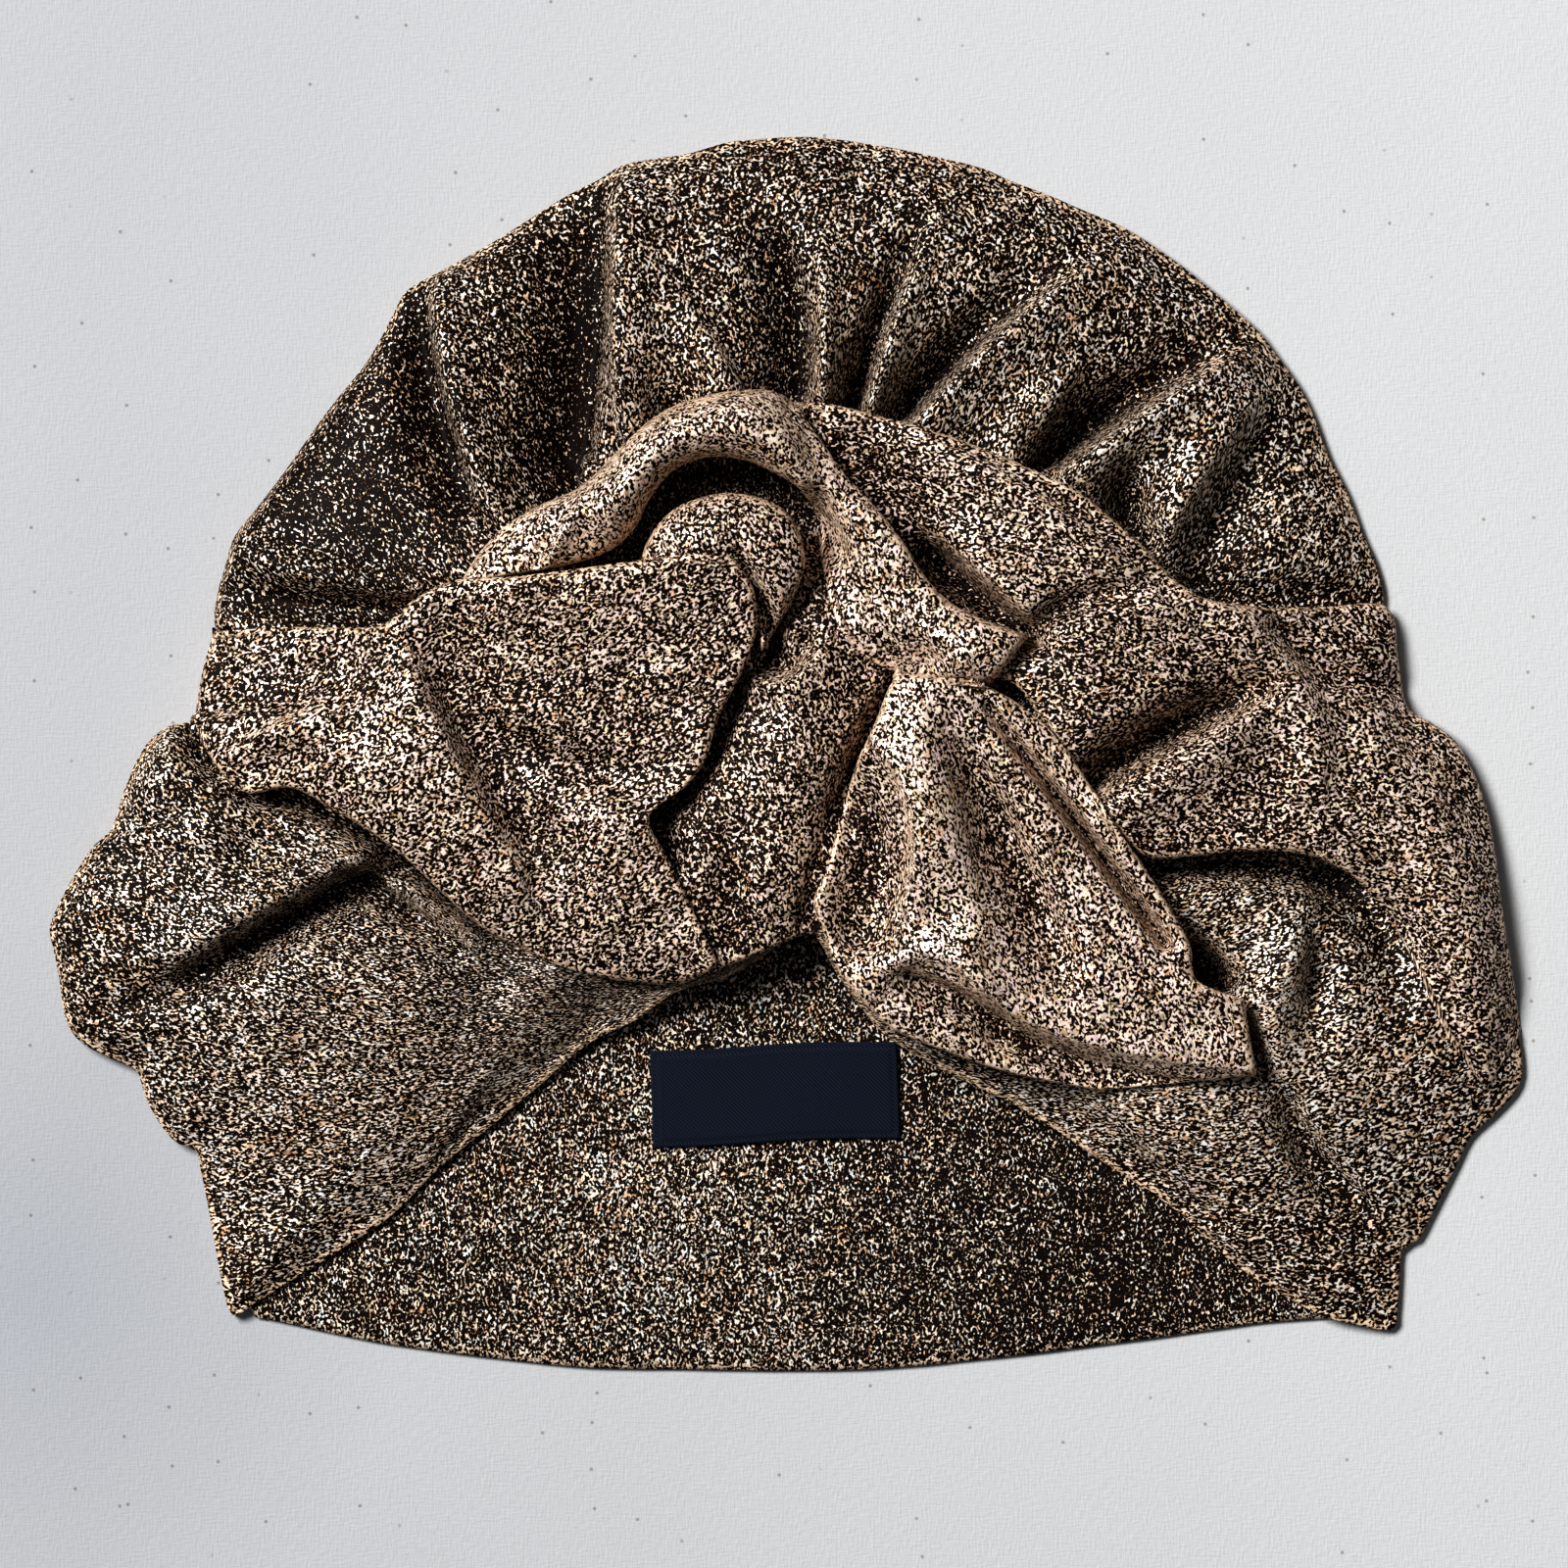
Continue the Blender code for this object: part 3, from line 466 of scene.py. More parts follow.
class Ground:
    """The height of the cloth laid so far, on a grid of places over the surface."""

    def __init__(self, half_width=175.0, half_length=150.0, step=1.0):
        self.step = step
        self.xs = np.arange(-half_width, half_width + step, step)
        self.ys = np.arange(-half_length, half_length + step, step)
        self.height = np.zeros((len(self.ys), len(self.xs)))

    def add(self, bm, sky=200.0):
        """Adds a piece, seen from high above."""
        tree = BVHTree.FromBMesh(bm)
        places = np.array([vert.co[:2] for vert in bm.verts])
        low, high = places.min(0), places.max(0)
        down = Vector((0, 0, -1))
        for j in np.flatnonzero((self.ys >= low[1]) & (self.ys <= high[1])):
            for i in np.flatnonzero((self.xs >= low[0]) & (self.xs <= high[0])):
                hit = tree.ray_cast(Vector((self.xs[i], self.ys[j], sky)), down)[0]
                if hit:
                    self.height[j, i] = max(self.height[j, i], hit.z)

    def under(self, x, y, reach, slack=0.3):
        """The highest cloth within reach of each place."""
        cells = int(math.ceil(reach / self.step))
        widest = self.height.copy()
        for dj in range(-cells, cells + 1):
            for di in range(-cells, cells + 1):
                if (di, dj) != (0, 0) and math.hypot(di, dj) * self.step <= reach + slack:
                    widest = np.maximum(widest, np.roll(self.height, (dj, di), axis=(0, 1)))
        i = np.clip((x - self.xs[0]) / self.step, 0, len(self.xs) - 1.001)
        j = np.clip((y - self.ys[0]) / self.step, 0, len(self.ys) - 1.001)
        i0, j0 = i.astype(int), j.astype(int)
        fi, fj = i - i0, j - j0
        return (
            widest[j0, i0] * (1 - fi) * (1 - fj) + widest[j0, i0 + 1] * fi * (1 - fj)
            + widest[j0 + 1, i0] * (1 - fi) * fj + widest[j0 + 1, i0 + 1] * fi * fj
        )


# Each operator lays its pieces on what the earlier ones have left here
GROUND = Ground()


def grid_mesh(across, along):
    """A flat grid, and for each of its vertices the row and column that it is in."""
    bm = bmesh.new()
    bmesh.ops.create_grid(bm, x_segments=across, y_segments=along, size=1.0)
    flat = np.array([vert.co[:2] for vert in bm.verts])
    columns = np.rint((flat[:, 0] + 1) / 2 * across).astype(int)
    rows = np.rint((flat[:, 1] + 1) / 2 * along).astype(int)
    return bm, rows, columns


def place_grid(bm, rows, columns, points, knit, thin=1.0, cover=0.0, rim_light=0.0):
    """Moves a grid's vertices to their points, and gives each its place in the knit, how thick the
    cloth is there, how much thread shows with painted shade and light, and how near it is to an edge, for the
    painted highlight there."""
    knit_layer = bm.verts.layers.float_vector.new("knit")
    shares = [
        (bm.verts.layers.float.new(name), np.broadcast_to(values, points.shape[:2]))
        for name, values in (("thin", thin), ("cover", cover), ("turned", rim_light))
    ]
    for vert, row, column in zip(bm.verts, rows, columns):
        vert.co = points[row, column]
        vert[knit_layer] = (*knit[row, column], points[row, column, 2])
        for layer, values in shares:
            vert[layer] = values[row, column]


def rim_light_share(inward):
    """Where a rolled edge gets its painted highlight: 1 at the edge, falling to 0 where the cloth lies flat
    again.
    """
    return np.clip((RIM_LIGHT_WIDTH - inward) / (RIM_LIGHT_WIDTH / 2), 0, 1)


def turn_edge(bm, chosen, depth, steps=3, tuck=1.6):
    """Turns the chosen open edge down by a depth of its own at each vertex, and in under itself."""
    knit_layer = bm.verts.layers.float_vector["knit"]
    edges = [edge for edge in bm.edges if edge.is_boundary and all(chosen(vert) for vert in edge.verts)]
    turning = {}
    for vert in {vert for edge in edges for vert in edge.verts}:
        inside = [edge.other_vert(vert) for edge in vert.link_edges if not edge.is_boundary]
        away, outward = Vector(), Vector()
        if inside:
            away = vert.co - sum((other.co for other in inside), Vector()) / len(inside)
            away.z = 0
            outward = vert[knit_layer] - inside[0][knit_layer]
        turning[vert] = (
            away.normalized(), outward.normalized(), depth(vert), vert.co.copy(), vert[knit_layer].copy()
        )
    for step in range(1, steps + 1):
        made = bmesh.ops.extrude_edge_only(bm, edges=edges)["geom"]
        angle = step / steps * math.pi / 2
        turned = {}
        for vert in (item for item in made if isinstance(item, bmesh.types.BMVert)):
            others = (edge.other_vert(vert) for edge in vert.link_edges)
            turned[vert] = turning[next(other for other in others if other in turning)]
            away, outward, down, origin, knit = turned[vert]
            drop, under = down * math.sin(angle), tuck * (1 - math.cos(angle))
            vert.co = origin - away * under - Vector((0, 0, drop))
            vert[knit_layer] = knit + outward * (drop + under)
        edges = [
            item for item in made
            if isinstance(item, bmesh.types.BMEdge) and all(vert in turned for vert in item.verts)
        ]
        turning = turned


def in_scene(name, data):
    """An object in the scene that shows a mesh, a light or a camera."""
    item = bpy.data.objects.new(name, data)
    bpy.context.scene.collection.objects.link(item)
    return item


def finish_mesh(name, bm, mat):
    """An object with a finished mesh and its material."""
    mesh = bpy.data.meshes.new(name)
    bm.to_mesh(mesh)
    bm.free()
    mesh.materials.append(mat)
    return in_scene(name, mesh)


def finish_piece(name, bm, wall, mat, steepest_sheen=1.0):
    """A cloth piece from its upper face, with its thickness below that face; the last argument is
    how much painted tan sheen the steep faces may get at most."""
    bmesh.ops.remove_doubles(bm, verts=bm.verts, dist=MERGED)
    bmesh.ops.recalc_face_normals(bm, faces=bm.faces)
    if sum(face.normal.z * face.calc_area() for face in bm.faces) < 0:
        bmesh.ops.reverse_faces(bm, faces=bm.faces)
    # Painted highlight along rolled edges and painted tan sheen on steep faces
    sheen_layer = bm.verts.layers.float["turned"]
    for vert in bm.verts:
        steep = (SHEEN_FROM - vert.normal.z) / SHEEN_RANGE
        vert[sheen_layer] = max(vert[sheen_layer], min(steep, steepest_sheen))
    bmesh.ops.scale(bm, vec=(MM, MM, MM), verts=bm.verts)
    thin_layer = bm.verts.layers.float["thin"]
    weights = [vert[thin_layer] for vert in bm.verts]
    item = finish_mesh(name + "_sheet", bm, mat)
    thickness = item.modifiers.new("wall", "SOLIDIFY")
    thickness.thickness = wall * MM
    thickness.offset = -1.0
    if min(weights) < 1:
        group = item.vertex_groups.new(name="thin")
        for index, weight in enumerate(weights):
            group.add([index], weight, "REPLACE")
        thickness.vertex_group = group.name
        thickness.thickness_vertex_group = THINNEST
    item.data.shade_smooth()
    return item


def ring_shares(hidden, hidden_rings, edge, rings, edge_rings):
    """How far out from the knot a panel's grid has its rings, as shares of the way to its outline:
    few in the hidden middle, and close together at the edge."""
    edge_from = edge + 0.005
    return np.concatenate([
        np.linspace(0, hidden, hidden_rings)[:-1], np.linspace(hidden, edge, rings),
        np.linspace(edge_from, 1, edge_rings),
    ])


def fan_grid(outline, shares):
    """A panel's grid, of rays from the knot to its outline and rings across them: the mesh, the ring
    and ray of each vertex, the places, how far out each is as a share of its ray, and the rays."""
    bm, rings, rays = grid_mesh(len(outline) - 1, len(shares) - 1)
    share = shares[:, None] * np.ones(len(outline))
    away = outline - KNOT
    place = KNOT + away * share[..., None]
    return bm, rings, rays, place, share, away


def knit_on_front(place):
    """Places in the knit of the front, whose lines spread from one point, a little less than rays."""
    away = place - KNIT_CENTRE
    distance = np.linalg.norm(away, axis=-1)
    turn = np.arctan2(away[..., 0], away[..., 1])
    typical, power = 130.0, 0.15
    return np.stack([turn * typical ** (1 - power) * distance**power, distance], axis=-1)


def dome_height(share):
    """The crown's height at a share of the way from the knot to the outline."""
    fine = smooth_curve(DOME, 1.0)
    return np.interp(share * 100, fine[:, 0], fine[:, 1])


def cover_with_painted_tones(x, y, typical, tones):
    """How much of the knit the metallic thread covers at each place, with painted lighter and darker patches.
    """
    total = np.full(np.shape(x), typical)
    for tone in tones:
        total += tone.cover * np.exp(-((x - tone.x) ** 2 + (y - tone.y) ** 2) / tone.reach**2)
    return total


def painted_fold_shade(fold):
    """Painted shade in a valley, darker the deeper it is, and a little painted light on a crest: less thread
    shows in the one and more on the other.
    """
    per_height, least, most = 0.06, -0.75, 0.12
    return np.clip(fold * per_height, least, most)


def front_rim(wall):
    """The front's outline: x and y, the height of the cloth's underside, the width over which the
    cloth rounds up from there, the height that the dome sinks to, 1 on the brim, and how close
    together its rays stand."""
    seam, right_seam = 2.3, 0.9
    rounding, right_rounding, brim_rounding = 4.0, 8.0, 1.6
    side_rays, crown_rays, brim_rays = 1.15, 1.75, 1.0
    # the sides sink towards the corners of the brim, and the right one lies a little lower
    corner_from, corner_reach, corner_drop, right_drop = -50, 75, 5.0, 0.5
    # towards the right the crown's seam comes down and its edge gets rounder
    seam_fall, crown_rounding, crown_growth = 93, 4.5, 40
    lip = 0.2

    def side_top(y):
        return DOME_END - corner_drop * min(1.0, max(0.0, (corner_from - y) / corner_reach))

    left = [(x, y, seam, rounding, side_top(y), 0, side_rays) for x, y in LEFT_SIDE]
    crown = [
        (x, y, seam - max(0, x) / seam_fall, crown_rounding + x / crown_growth, DOME_END, 0, crown_rays)
        for x, y in CROWN
    ]
    right = [
        (x, y, right_seam, right_rounding, side_top(y) - right_drop, 0, side_rays) for x, y in RIGHT_SIDE
    ]
    brim = [
        (x, y, lift, brim_rounding, lift + wall + GAP + (lift - seam) * lip, 1, brim_rays)
        for x, y, lift in BRIM
    ]
    return smooth_curve(
        left + crown + right + brim, spacing=2.7, closed=True, closeness=6, watched=slice(3, 5))


def front_piece(wall, mat):
    """The front: a dome that rounds over to its edge, with the pleats and the cheeks' folds."""
    outline = front_rim(wall)
    underside, rounding, rim_top, on_brim = outline[:, 2:6].T
    shares = ring_shares(hidden=0.25, hidden_rings=4, edge=0.968, rings=72, edge_rings=8)
    bm, rings, rays, place, share, away = fan_grid(outline[:, :2], shares)
    x, y = place[..., 0], place[..., 1]
    ahead = np.roll(outline[:, :2], -1, axis=0) - np.roll(outline[:, :2], 1, axis=0)
    straight_in = np.abs(ahead[:, 0] * away[:, 1] - ahead[:, 1] * away[:, 0])
    straight_in /= np.maximum(np.linalg.norm(ahead, axis=-1), MERGED)
    least_slant = 0.3
    inward = np.maximum(straight_in, least_slant * np.linalg.norm(away, axis=-1)) * (1 - share)
    fold = fold_height(x, y, CROWN_FOLDS + CHEEK_FOLDS)
    top = dome_height(share) + (rim_top - DOME_END) * share**3 + fold_height(x, y, HOLLOWS) + fold
    uneven = unevenness(x, y, height=0.22, wavelength=22.0, seed=3)
    edge, least_rise = underside + wall, 1.0
    z = edge + np.maximum(top - edge + uneven, least_rise) * (1 - np.exp(-inward / rounding))
    # The front's knit gets painted shade in its valleys, a little painted light on its crests, and painted
    # lighter and darker patches
    cover = cover_with_painted_tones(x, y, typical=0.17, tones=FRONT_PAINTED_TONES) + painted_fold_shade(fold)
    points = np.stack([x, y, z], axis=-1)
    place_grid(bm, rings, rays, points, knit_on_front(place), cover=cover, rim_light=rim_light_share(inward))
    brim_layer = bm.verts.layers.float.new("brim")
    for vert, ring, ray in zip(bm.verts, rings, rays):
        vert[brim_layer] = on_brim[ray]
        vert.tag = bool(ring == len(shares) - 1)
    bmesh.ops.remove_doubles(bm, verts=bm.verts, dist=MERGED)
    GROUND.add(bm)
    brim_turn, side_end = 1.2, 0.7

    def depth(vert):
        return brim_turn if vert[brim_layer] > 0.5 else vert.co.z - side_end

    turn_edge(bm, lambda vert: vert.tag, depth)
    return finish_piece("front_panel", bm, wall, mat, steepest_sheen=0.35)


def back_piece(mat):
    """The back: flat on the surface, with its turned hem along the lower edge."""
    sides = [(x, y, 0) for x, y in LEFT_SIDE + CROWN + RIGHT_SIDE]
    outline = smooth_curve(sides + [(x, y, 1) for x, y in HEM], spacing=2.6, closed=True)
    away = outline[:, :2] - KNOT
    side_inset = 2.6
    inset = np.where(outline[:, 2:] > 0.5, 0.0, side_inset)
    outline = outline[:, :2] - away / np.linalg.norm(away, axis=1)[:, None] * inset
    shares = ring_shares(hidden=0.5, hidden_rings=5, edge=0.97, rings=44, edge_rings=6)
    bm, rings, rays, place, share, away = fan_grid(outline, shares)
    x, y = place[..., 0], place[..., 1]
    inward = np.linalg.norm(away, axis=-1) * (1 - share)
    hem_top, hem_wave, wave_length, hem_step = -96, 1.2, 23, 1.4
    hem = 0.5 - 0.5 * np.tanh((y - hem_top + hem_wave * np.sin(x / wave_length)) / hem_step)
    face, hem_height, edge_depth, edge_width = 1.5, 0.6, 0.8, 1.1
    z = face + hem_height * hem + unevenness(x, y, height=0.07, wavelength=16.0, seed=8)
    z -= edge_depth * np.exp(-inward / edge_width)
    # The back's knit gets painted shade beside the right brim and a lighter patch
    cover = cover_with_painted_tones(x, y, typical=0.1, tones=BACK_PAINTED_TONES)
    place_grid(bm, rings, rays, np.stack([x, y, z], axis=-1), place, cover=cover, rim_light=rim_light_share(inward))
    return finish_piece("back_panel", bm, BACK_WALL, mat)


def section_grid(wrap):
    """Points across a wrap's sections, and for each side how far they lie from it and whether it is
    rolled."""
    along, across = 1.1, 1.15
    table = smooth_curve(wrap.sections, along, watched=slice(3, 5))
    width = np.linalg.norm(table[:, 3:5] - table[:, :2], axis=1)
    count = max(8, round(width.max() / across))
    share = np.linspace(0, 1, count + 1)
    closer_at_edges = 0.25
    share = ((1 - closer_at_edges) * share + closer_at_edges * (0.5 - 0.5 * np.cos(np.pi * share)))[None, :]
    points = table[:, None, :3] + (table[:, None, 3:6] - table[:, None, :3]) * share[..., None]
    points[..., 2] += table[:, 6:7] * (1 - (2 * share - 1) ** 2)
    middle = points[:, count // 2, :2]
    steps = np.linalg.norm(np.diff(middle, axis=0), axis=1)
    travel = np.concatenate([[0], np.cumsum(steps)])[:, None] * np.ones_like(share)
    return points, (
        (share * width[:, None], table[:, 7:8]), ((1 - share) * width[:, None], table[:, 8:9]),
        (travel, wrap.ends[0]), (travel[-1] - travel, wrap.ends[1]),
    )


def edge_grid(edges):
    """Points between four edges, and for each side how far they lie from it; all four are rolled."""
    spacing, fine_spacing = 1.15, 0.25

    def resample(curve, count):
        fine = smooth_curve(curve, fine_spacing)
        wanted = np.linspace(0, len(fine) - 1, count)
        return np.stack([np.interp(wanted, np.arange(len(fine)), column) for column in fine.T], axis=-1)

    def length(curve):
        return np.linalg.norm(np.diff(np.array(curve)[:, :2], axis=0), axis=1).sum()

    long = round(max(length(edges.top), length(edges.bottom)) / spacing)
    wide = round(max(length(edges.left), length(edges.right)) / spacing)
    top, bottom = (resample(curve, long)[:, None, :] for curve in (edges.top, edges.bottom))
    left, right = (resample(curve, wide)[None, :, :] for curve in (edges.left, edges.right))
    u, v = np.linspace(0, 1, long)[:, None, None], np.linspace(0, 1, wide)[None, :, None]
    corners = (1 - u) * ((1 - v) * top[0] + v * bottom[0]) + u * ((1 - v) * top[-1] + v * bottom[-1])
    points = (1 - v) * top + v * bottom + (1 - u) * left + u * right - corners
    rows = np.linalg.norm(np.diff(points[..., :2], axis=1), axis=-1)
    columns = np.linalg.norm(np.diff(points[..., :2], axis=0), axis=-1)
    down = np.concatenate([np.zeros((long, 1)), np.cumsum(rows, axis=1)], axis=1)
    on = np.concatenate([np.zeros((1, wide)), np.cumsum(columns, axis=0)])
    return points, ((down, 1), (down[:, -1:] - down, 1), (on, 1), (on[-1:] - on, 1))


def wrap_points(wrap, wall):
    """The upper face of a wrap, laid on the cloth below it: its points, how thick it is there, how
    near to an edge for the painted highlight, and how much thread shows with painted shade in the valleys."""
    points, sides = edge_grid(wrap.sections) if isinstance(wrap.sections, Edges) else section_grid(wrap)
    x, y = points[..., 0], points[..., 1]
    fold = fold_height(x, y, wrap.folds)
    z = points[..., 2] + fold + unevenness(x, y, height=0.2, wavelength=18.0, seed=len(wrap.name))
    thin = np.ones_like(z)
    rim_light = np.zeros_like(z)
    soft_width, clear_of = 12.0, 1.5
    for inward, rolled in sides:
        drop = np.clip(1 - inward / wrap.roll, 0, 1)
        z = z - wrap.roll * (1 - np.sqrt(1 - drop**2)) * rolled
        rim_light = np.maximum(rim_light, rim_light_share(inward) * rolled)
        soft = np.clip(inward / soft_width, 0, 1)
        soft = soft * soft * (3 - 2 * soft)
        thin = np.minimum(thin, rolled + (1 - rolled) * soft)
    thin = np.clip(thin, 0, 1)
    rest = GROUND.under(x, y, clear_of) * thin + GROUND.under(x, y, 0.0) * (1 - thin)
    rest = rest + GAP + wall * np.maximum(thin, THINNEST)
    z = z * thin + rest * (1 - thin)
    lift = spread(np.maximum(rest - z, 0), rounds=5)
    z = np.maximum(z + lift, rest)
    # The wrap's knit gets painted shade in its valleys and a little painted light on its crests
    return np.stack([x, y, z], axis=-1), thin, rim_light, wrap.cover + painted_fold_shade(fold) * thin


def knit_on_wrap(points, grain):
    """Places in the knit of a wrap, turned by its grain."""
    x, y = points[..., 0], points[..., 1]
    cos, sin = math.cos(math.radians(grain)), math.sin(math.radians(grain))
    return np.stack([x * cos + y * sin, y * cos - x * sin], axis=-1)


def wrap_piece(wrap, wall, mat):
    """A wrap laid on the pieces below it, with its open edges turned down onto them."""
    points, thin, rim_light, cover = wrap_points(wrap, wall)
    bm, rows, columns = grid_mesh(points.shape[1] - 1, points.shape[0] - 1)
    place_grid(bm, rows, columns, points, knit_on_wrap(points, wrap.grain), thin, cover, rim_light)
    thin_layer = bm.verts.layers.float["thin"]
    clear_of, deepest = 1.0, 14.0

    def depth(vert):
        below = GROUND.under(np.array([vert.co.x]), np.array([vert.co.y]), clear_of)[0]
        return float(np.clip(vert.co.z - below - GAP, 0.0, deepest)) * min(1.0, vert[thin_layer])

    turn_edge(bm, lambda vert: vert.is_boundary, depth)
    GROUND.add(bm)
    return finish_piece(wrap.name, bm, wall, mat, steepest_sheen=0.7)


def label_piece(mat):
    """The label: a thin strip of satin, bowed a little and sewn down along its edges."""
    low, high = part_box("label")
    centre = (low + high) / 2 / MM
    length, width = (side / MM for side in LABEL_CUT)
    across, along = 96, 40
    bm, rows, columns = grid_mesh(across, along)
    u, v = np.meshgrid(np.linspace(-0.5, 0.5, across + 1) * length, np.linspace(-0.5, 0.5, along + 1) * width)
    inward = np.minimum(length / 2 - np.abs(u), width / 2 - np.abs(v))
    bow, bow_length, bow_from = 0.35, 9.0, 0.6
    v = v + bow * np.sin(u / bow_length + bow_from)
    face, ripple, ripple_length, ripple_width = 2.75, 0.12, 6.0, 5.0
    stitched, stitch_width, stitch_depth = 1.1, 0.35, 0.28
    edge_width, edge_depth = 0.4, 0.25
    z = face + ripple * np.sin(u / ripple_length) * np.cos(v / ripple_width)
    z -= stitch_depth * np.exp(-((inward - stitched) / stitch_width) ** 2)
    z -= edge_depth * np.exp(-inward / edge_width)
    turn = math.radians(2.0)
    x = centre.x + u * math.cos(turn) - v * math.sin(turn)
    y = centre.y + u * math.sin(turn) + v * math.cos(turn)
    place_grid(bm, rows, columns, np.stack([x, y, z], axis=-1), np.stack([u, v], axis=-1))
    return finish_piece("label", bm, LABEL_WALL, mat)


def declare(piece, flat):
    """A finished sheet of cloth: what it stands for and rides on; flat, the size that it was cut to, is not
    used.
    """
    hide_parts(piece.name.removesuffix("_sheet"))
    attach(piece, "root")


# Materials

class Wire:
    """A socket that adds Math nodes when it is used in an expression."""

    def __init__(self, net, socket):
        self.net = net
        self.socket = socket

    def math(self, operation, *values, clamp=False):
        return self.net.node("ShaderNodeMath", {"operation": operation, "use_clamp": clamp}, *values)

    def __add__(self, other):
        return self.math("ADD", self, other)

    def __radd__(self, other):
        return self.math("ADD", other, self)

    def __sub__(self, other):
        return self.math("SUBTRACT", self, other)

    def __rsub__(self, other):
        return self.math("SUBTRACT", other, self)

    def __mul__(self, other):
        return self.math("MULTIPLY", self, other)

    def __rmul__(self, other):
        return self.math("MULTIPLY", other, self)

    def __truediv__(self, other):
        return self.math("DIVIDE", self, other)

    def __rtruediv__(self, other):
        return self.math("DIVIDE", other, self)

    def clamped(self):
        return self.math("ADD", self, 0.0, clamp=True)

    def beside(self, output):
        """Another output of the same node."""
        return Wire(self.net, self.socket.node.outputs[output])


class Net:
    """The nodes of one material."""

    def __init__(self, name):
        self.material = bpy.data.materials.new(name)
        self.material.use_nodes = True
        self.tree = self.material.node_tree
        self.tree.nodes.clear()

    def node(self, kind, settings=None, *values, output=0, **named):
        """A node of a kind, with its settings first and then what its sockets hold or are linked
        to, in order or by name. Returns its output as a wire."""
        made = self.tree.nodes.new(kind)
        for key, value in (settings or {}).items():
            if key == "ramp":
                stops = made.color_ramp.elements
                while len(stops) < len(value):
                    stops.new(0.5)
                for stop, (position, colour) in zip(stops, value):
                    stop.position = position
                    stop.color = rgba(colour)
            else:
                setattr(made, key, value)
        for index, value in enumerate(values):
            self.fill(made.inputs[index], value)
        for key, value in named.items():
            self.fill(made.inputs[key.replace("_", " ")], value)
        return Wire(self, made.outputs[output]) if made.outputs else None

    def fill(self, socket, value):
        """Links a wire to a socket, or sets the socket to a value."""
        if isinstance(value, Wire):
            self.tree.links.new(value.socket, socket)
        else:
            socket.default_value = value

    def mix(self, factor, first, second, blend="MIX"):
        """Two colours mixed."""
        made = self.tree.nodes.new("ShaderNodeMix")
        made.data_type = "RGBA"
        made.blend_type = blend
        for index, value in ((0, factor), (6, first), (7, second)):
            self.fill(made.inputs[index], value)
        return Wire(self, made.outputs[2])

    def attribute(self, name, output=1):
        """What the vertices of a piece hold under a name, as a vector or, from output 2, a number."""
        return self.node("ShaderNodeAttribute", {"attribute_name": name}, output=output)

    def noise(self, place, scale, detail, output=0):
        """Noise in space."""
        return self.node(
            "ShaderNodeTexNoise", None, output=output, Vector=place, Scale=scale, Detail=detail)

    def finish(self, **surface):
        """The material, with its surface."""
        shader = self.node("ShaderNodeBsdfPrincipled", None, **surface)
        self.node("ShaderNodeOutputMaterial", None, Surface=shader)
        return self.material


def rgba(colour):
    return (*colour, 1.0)


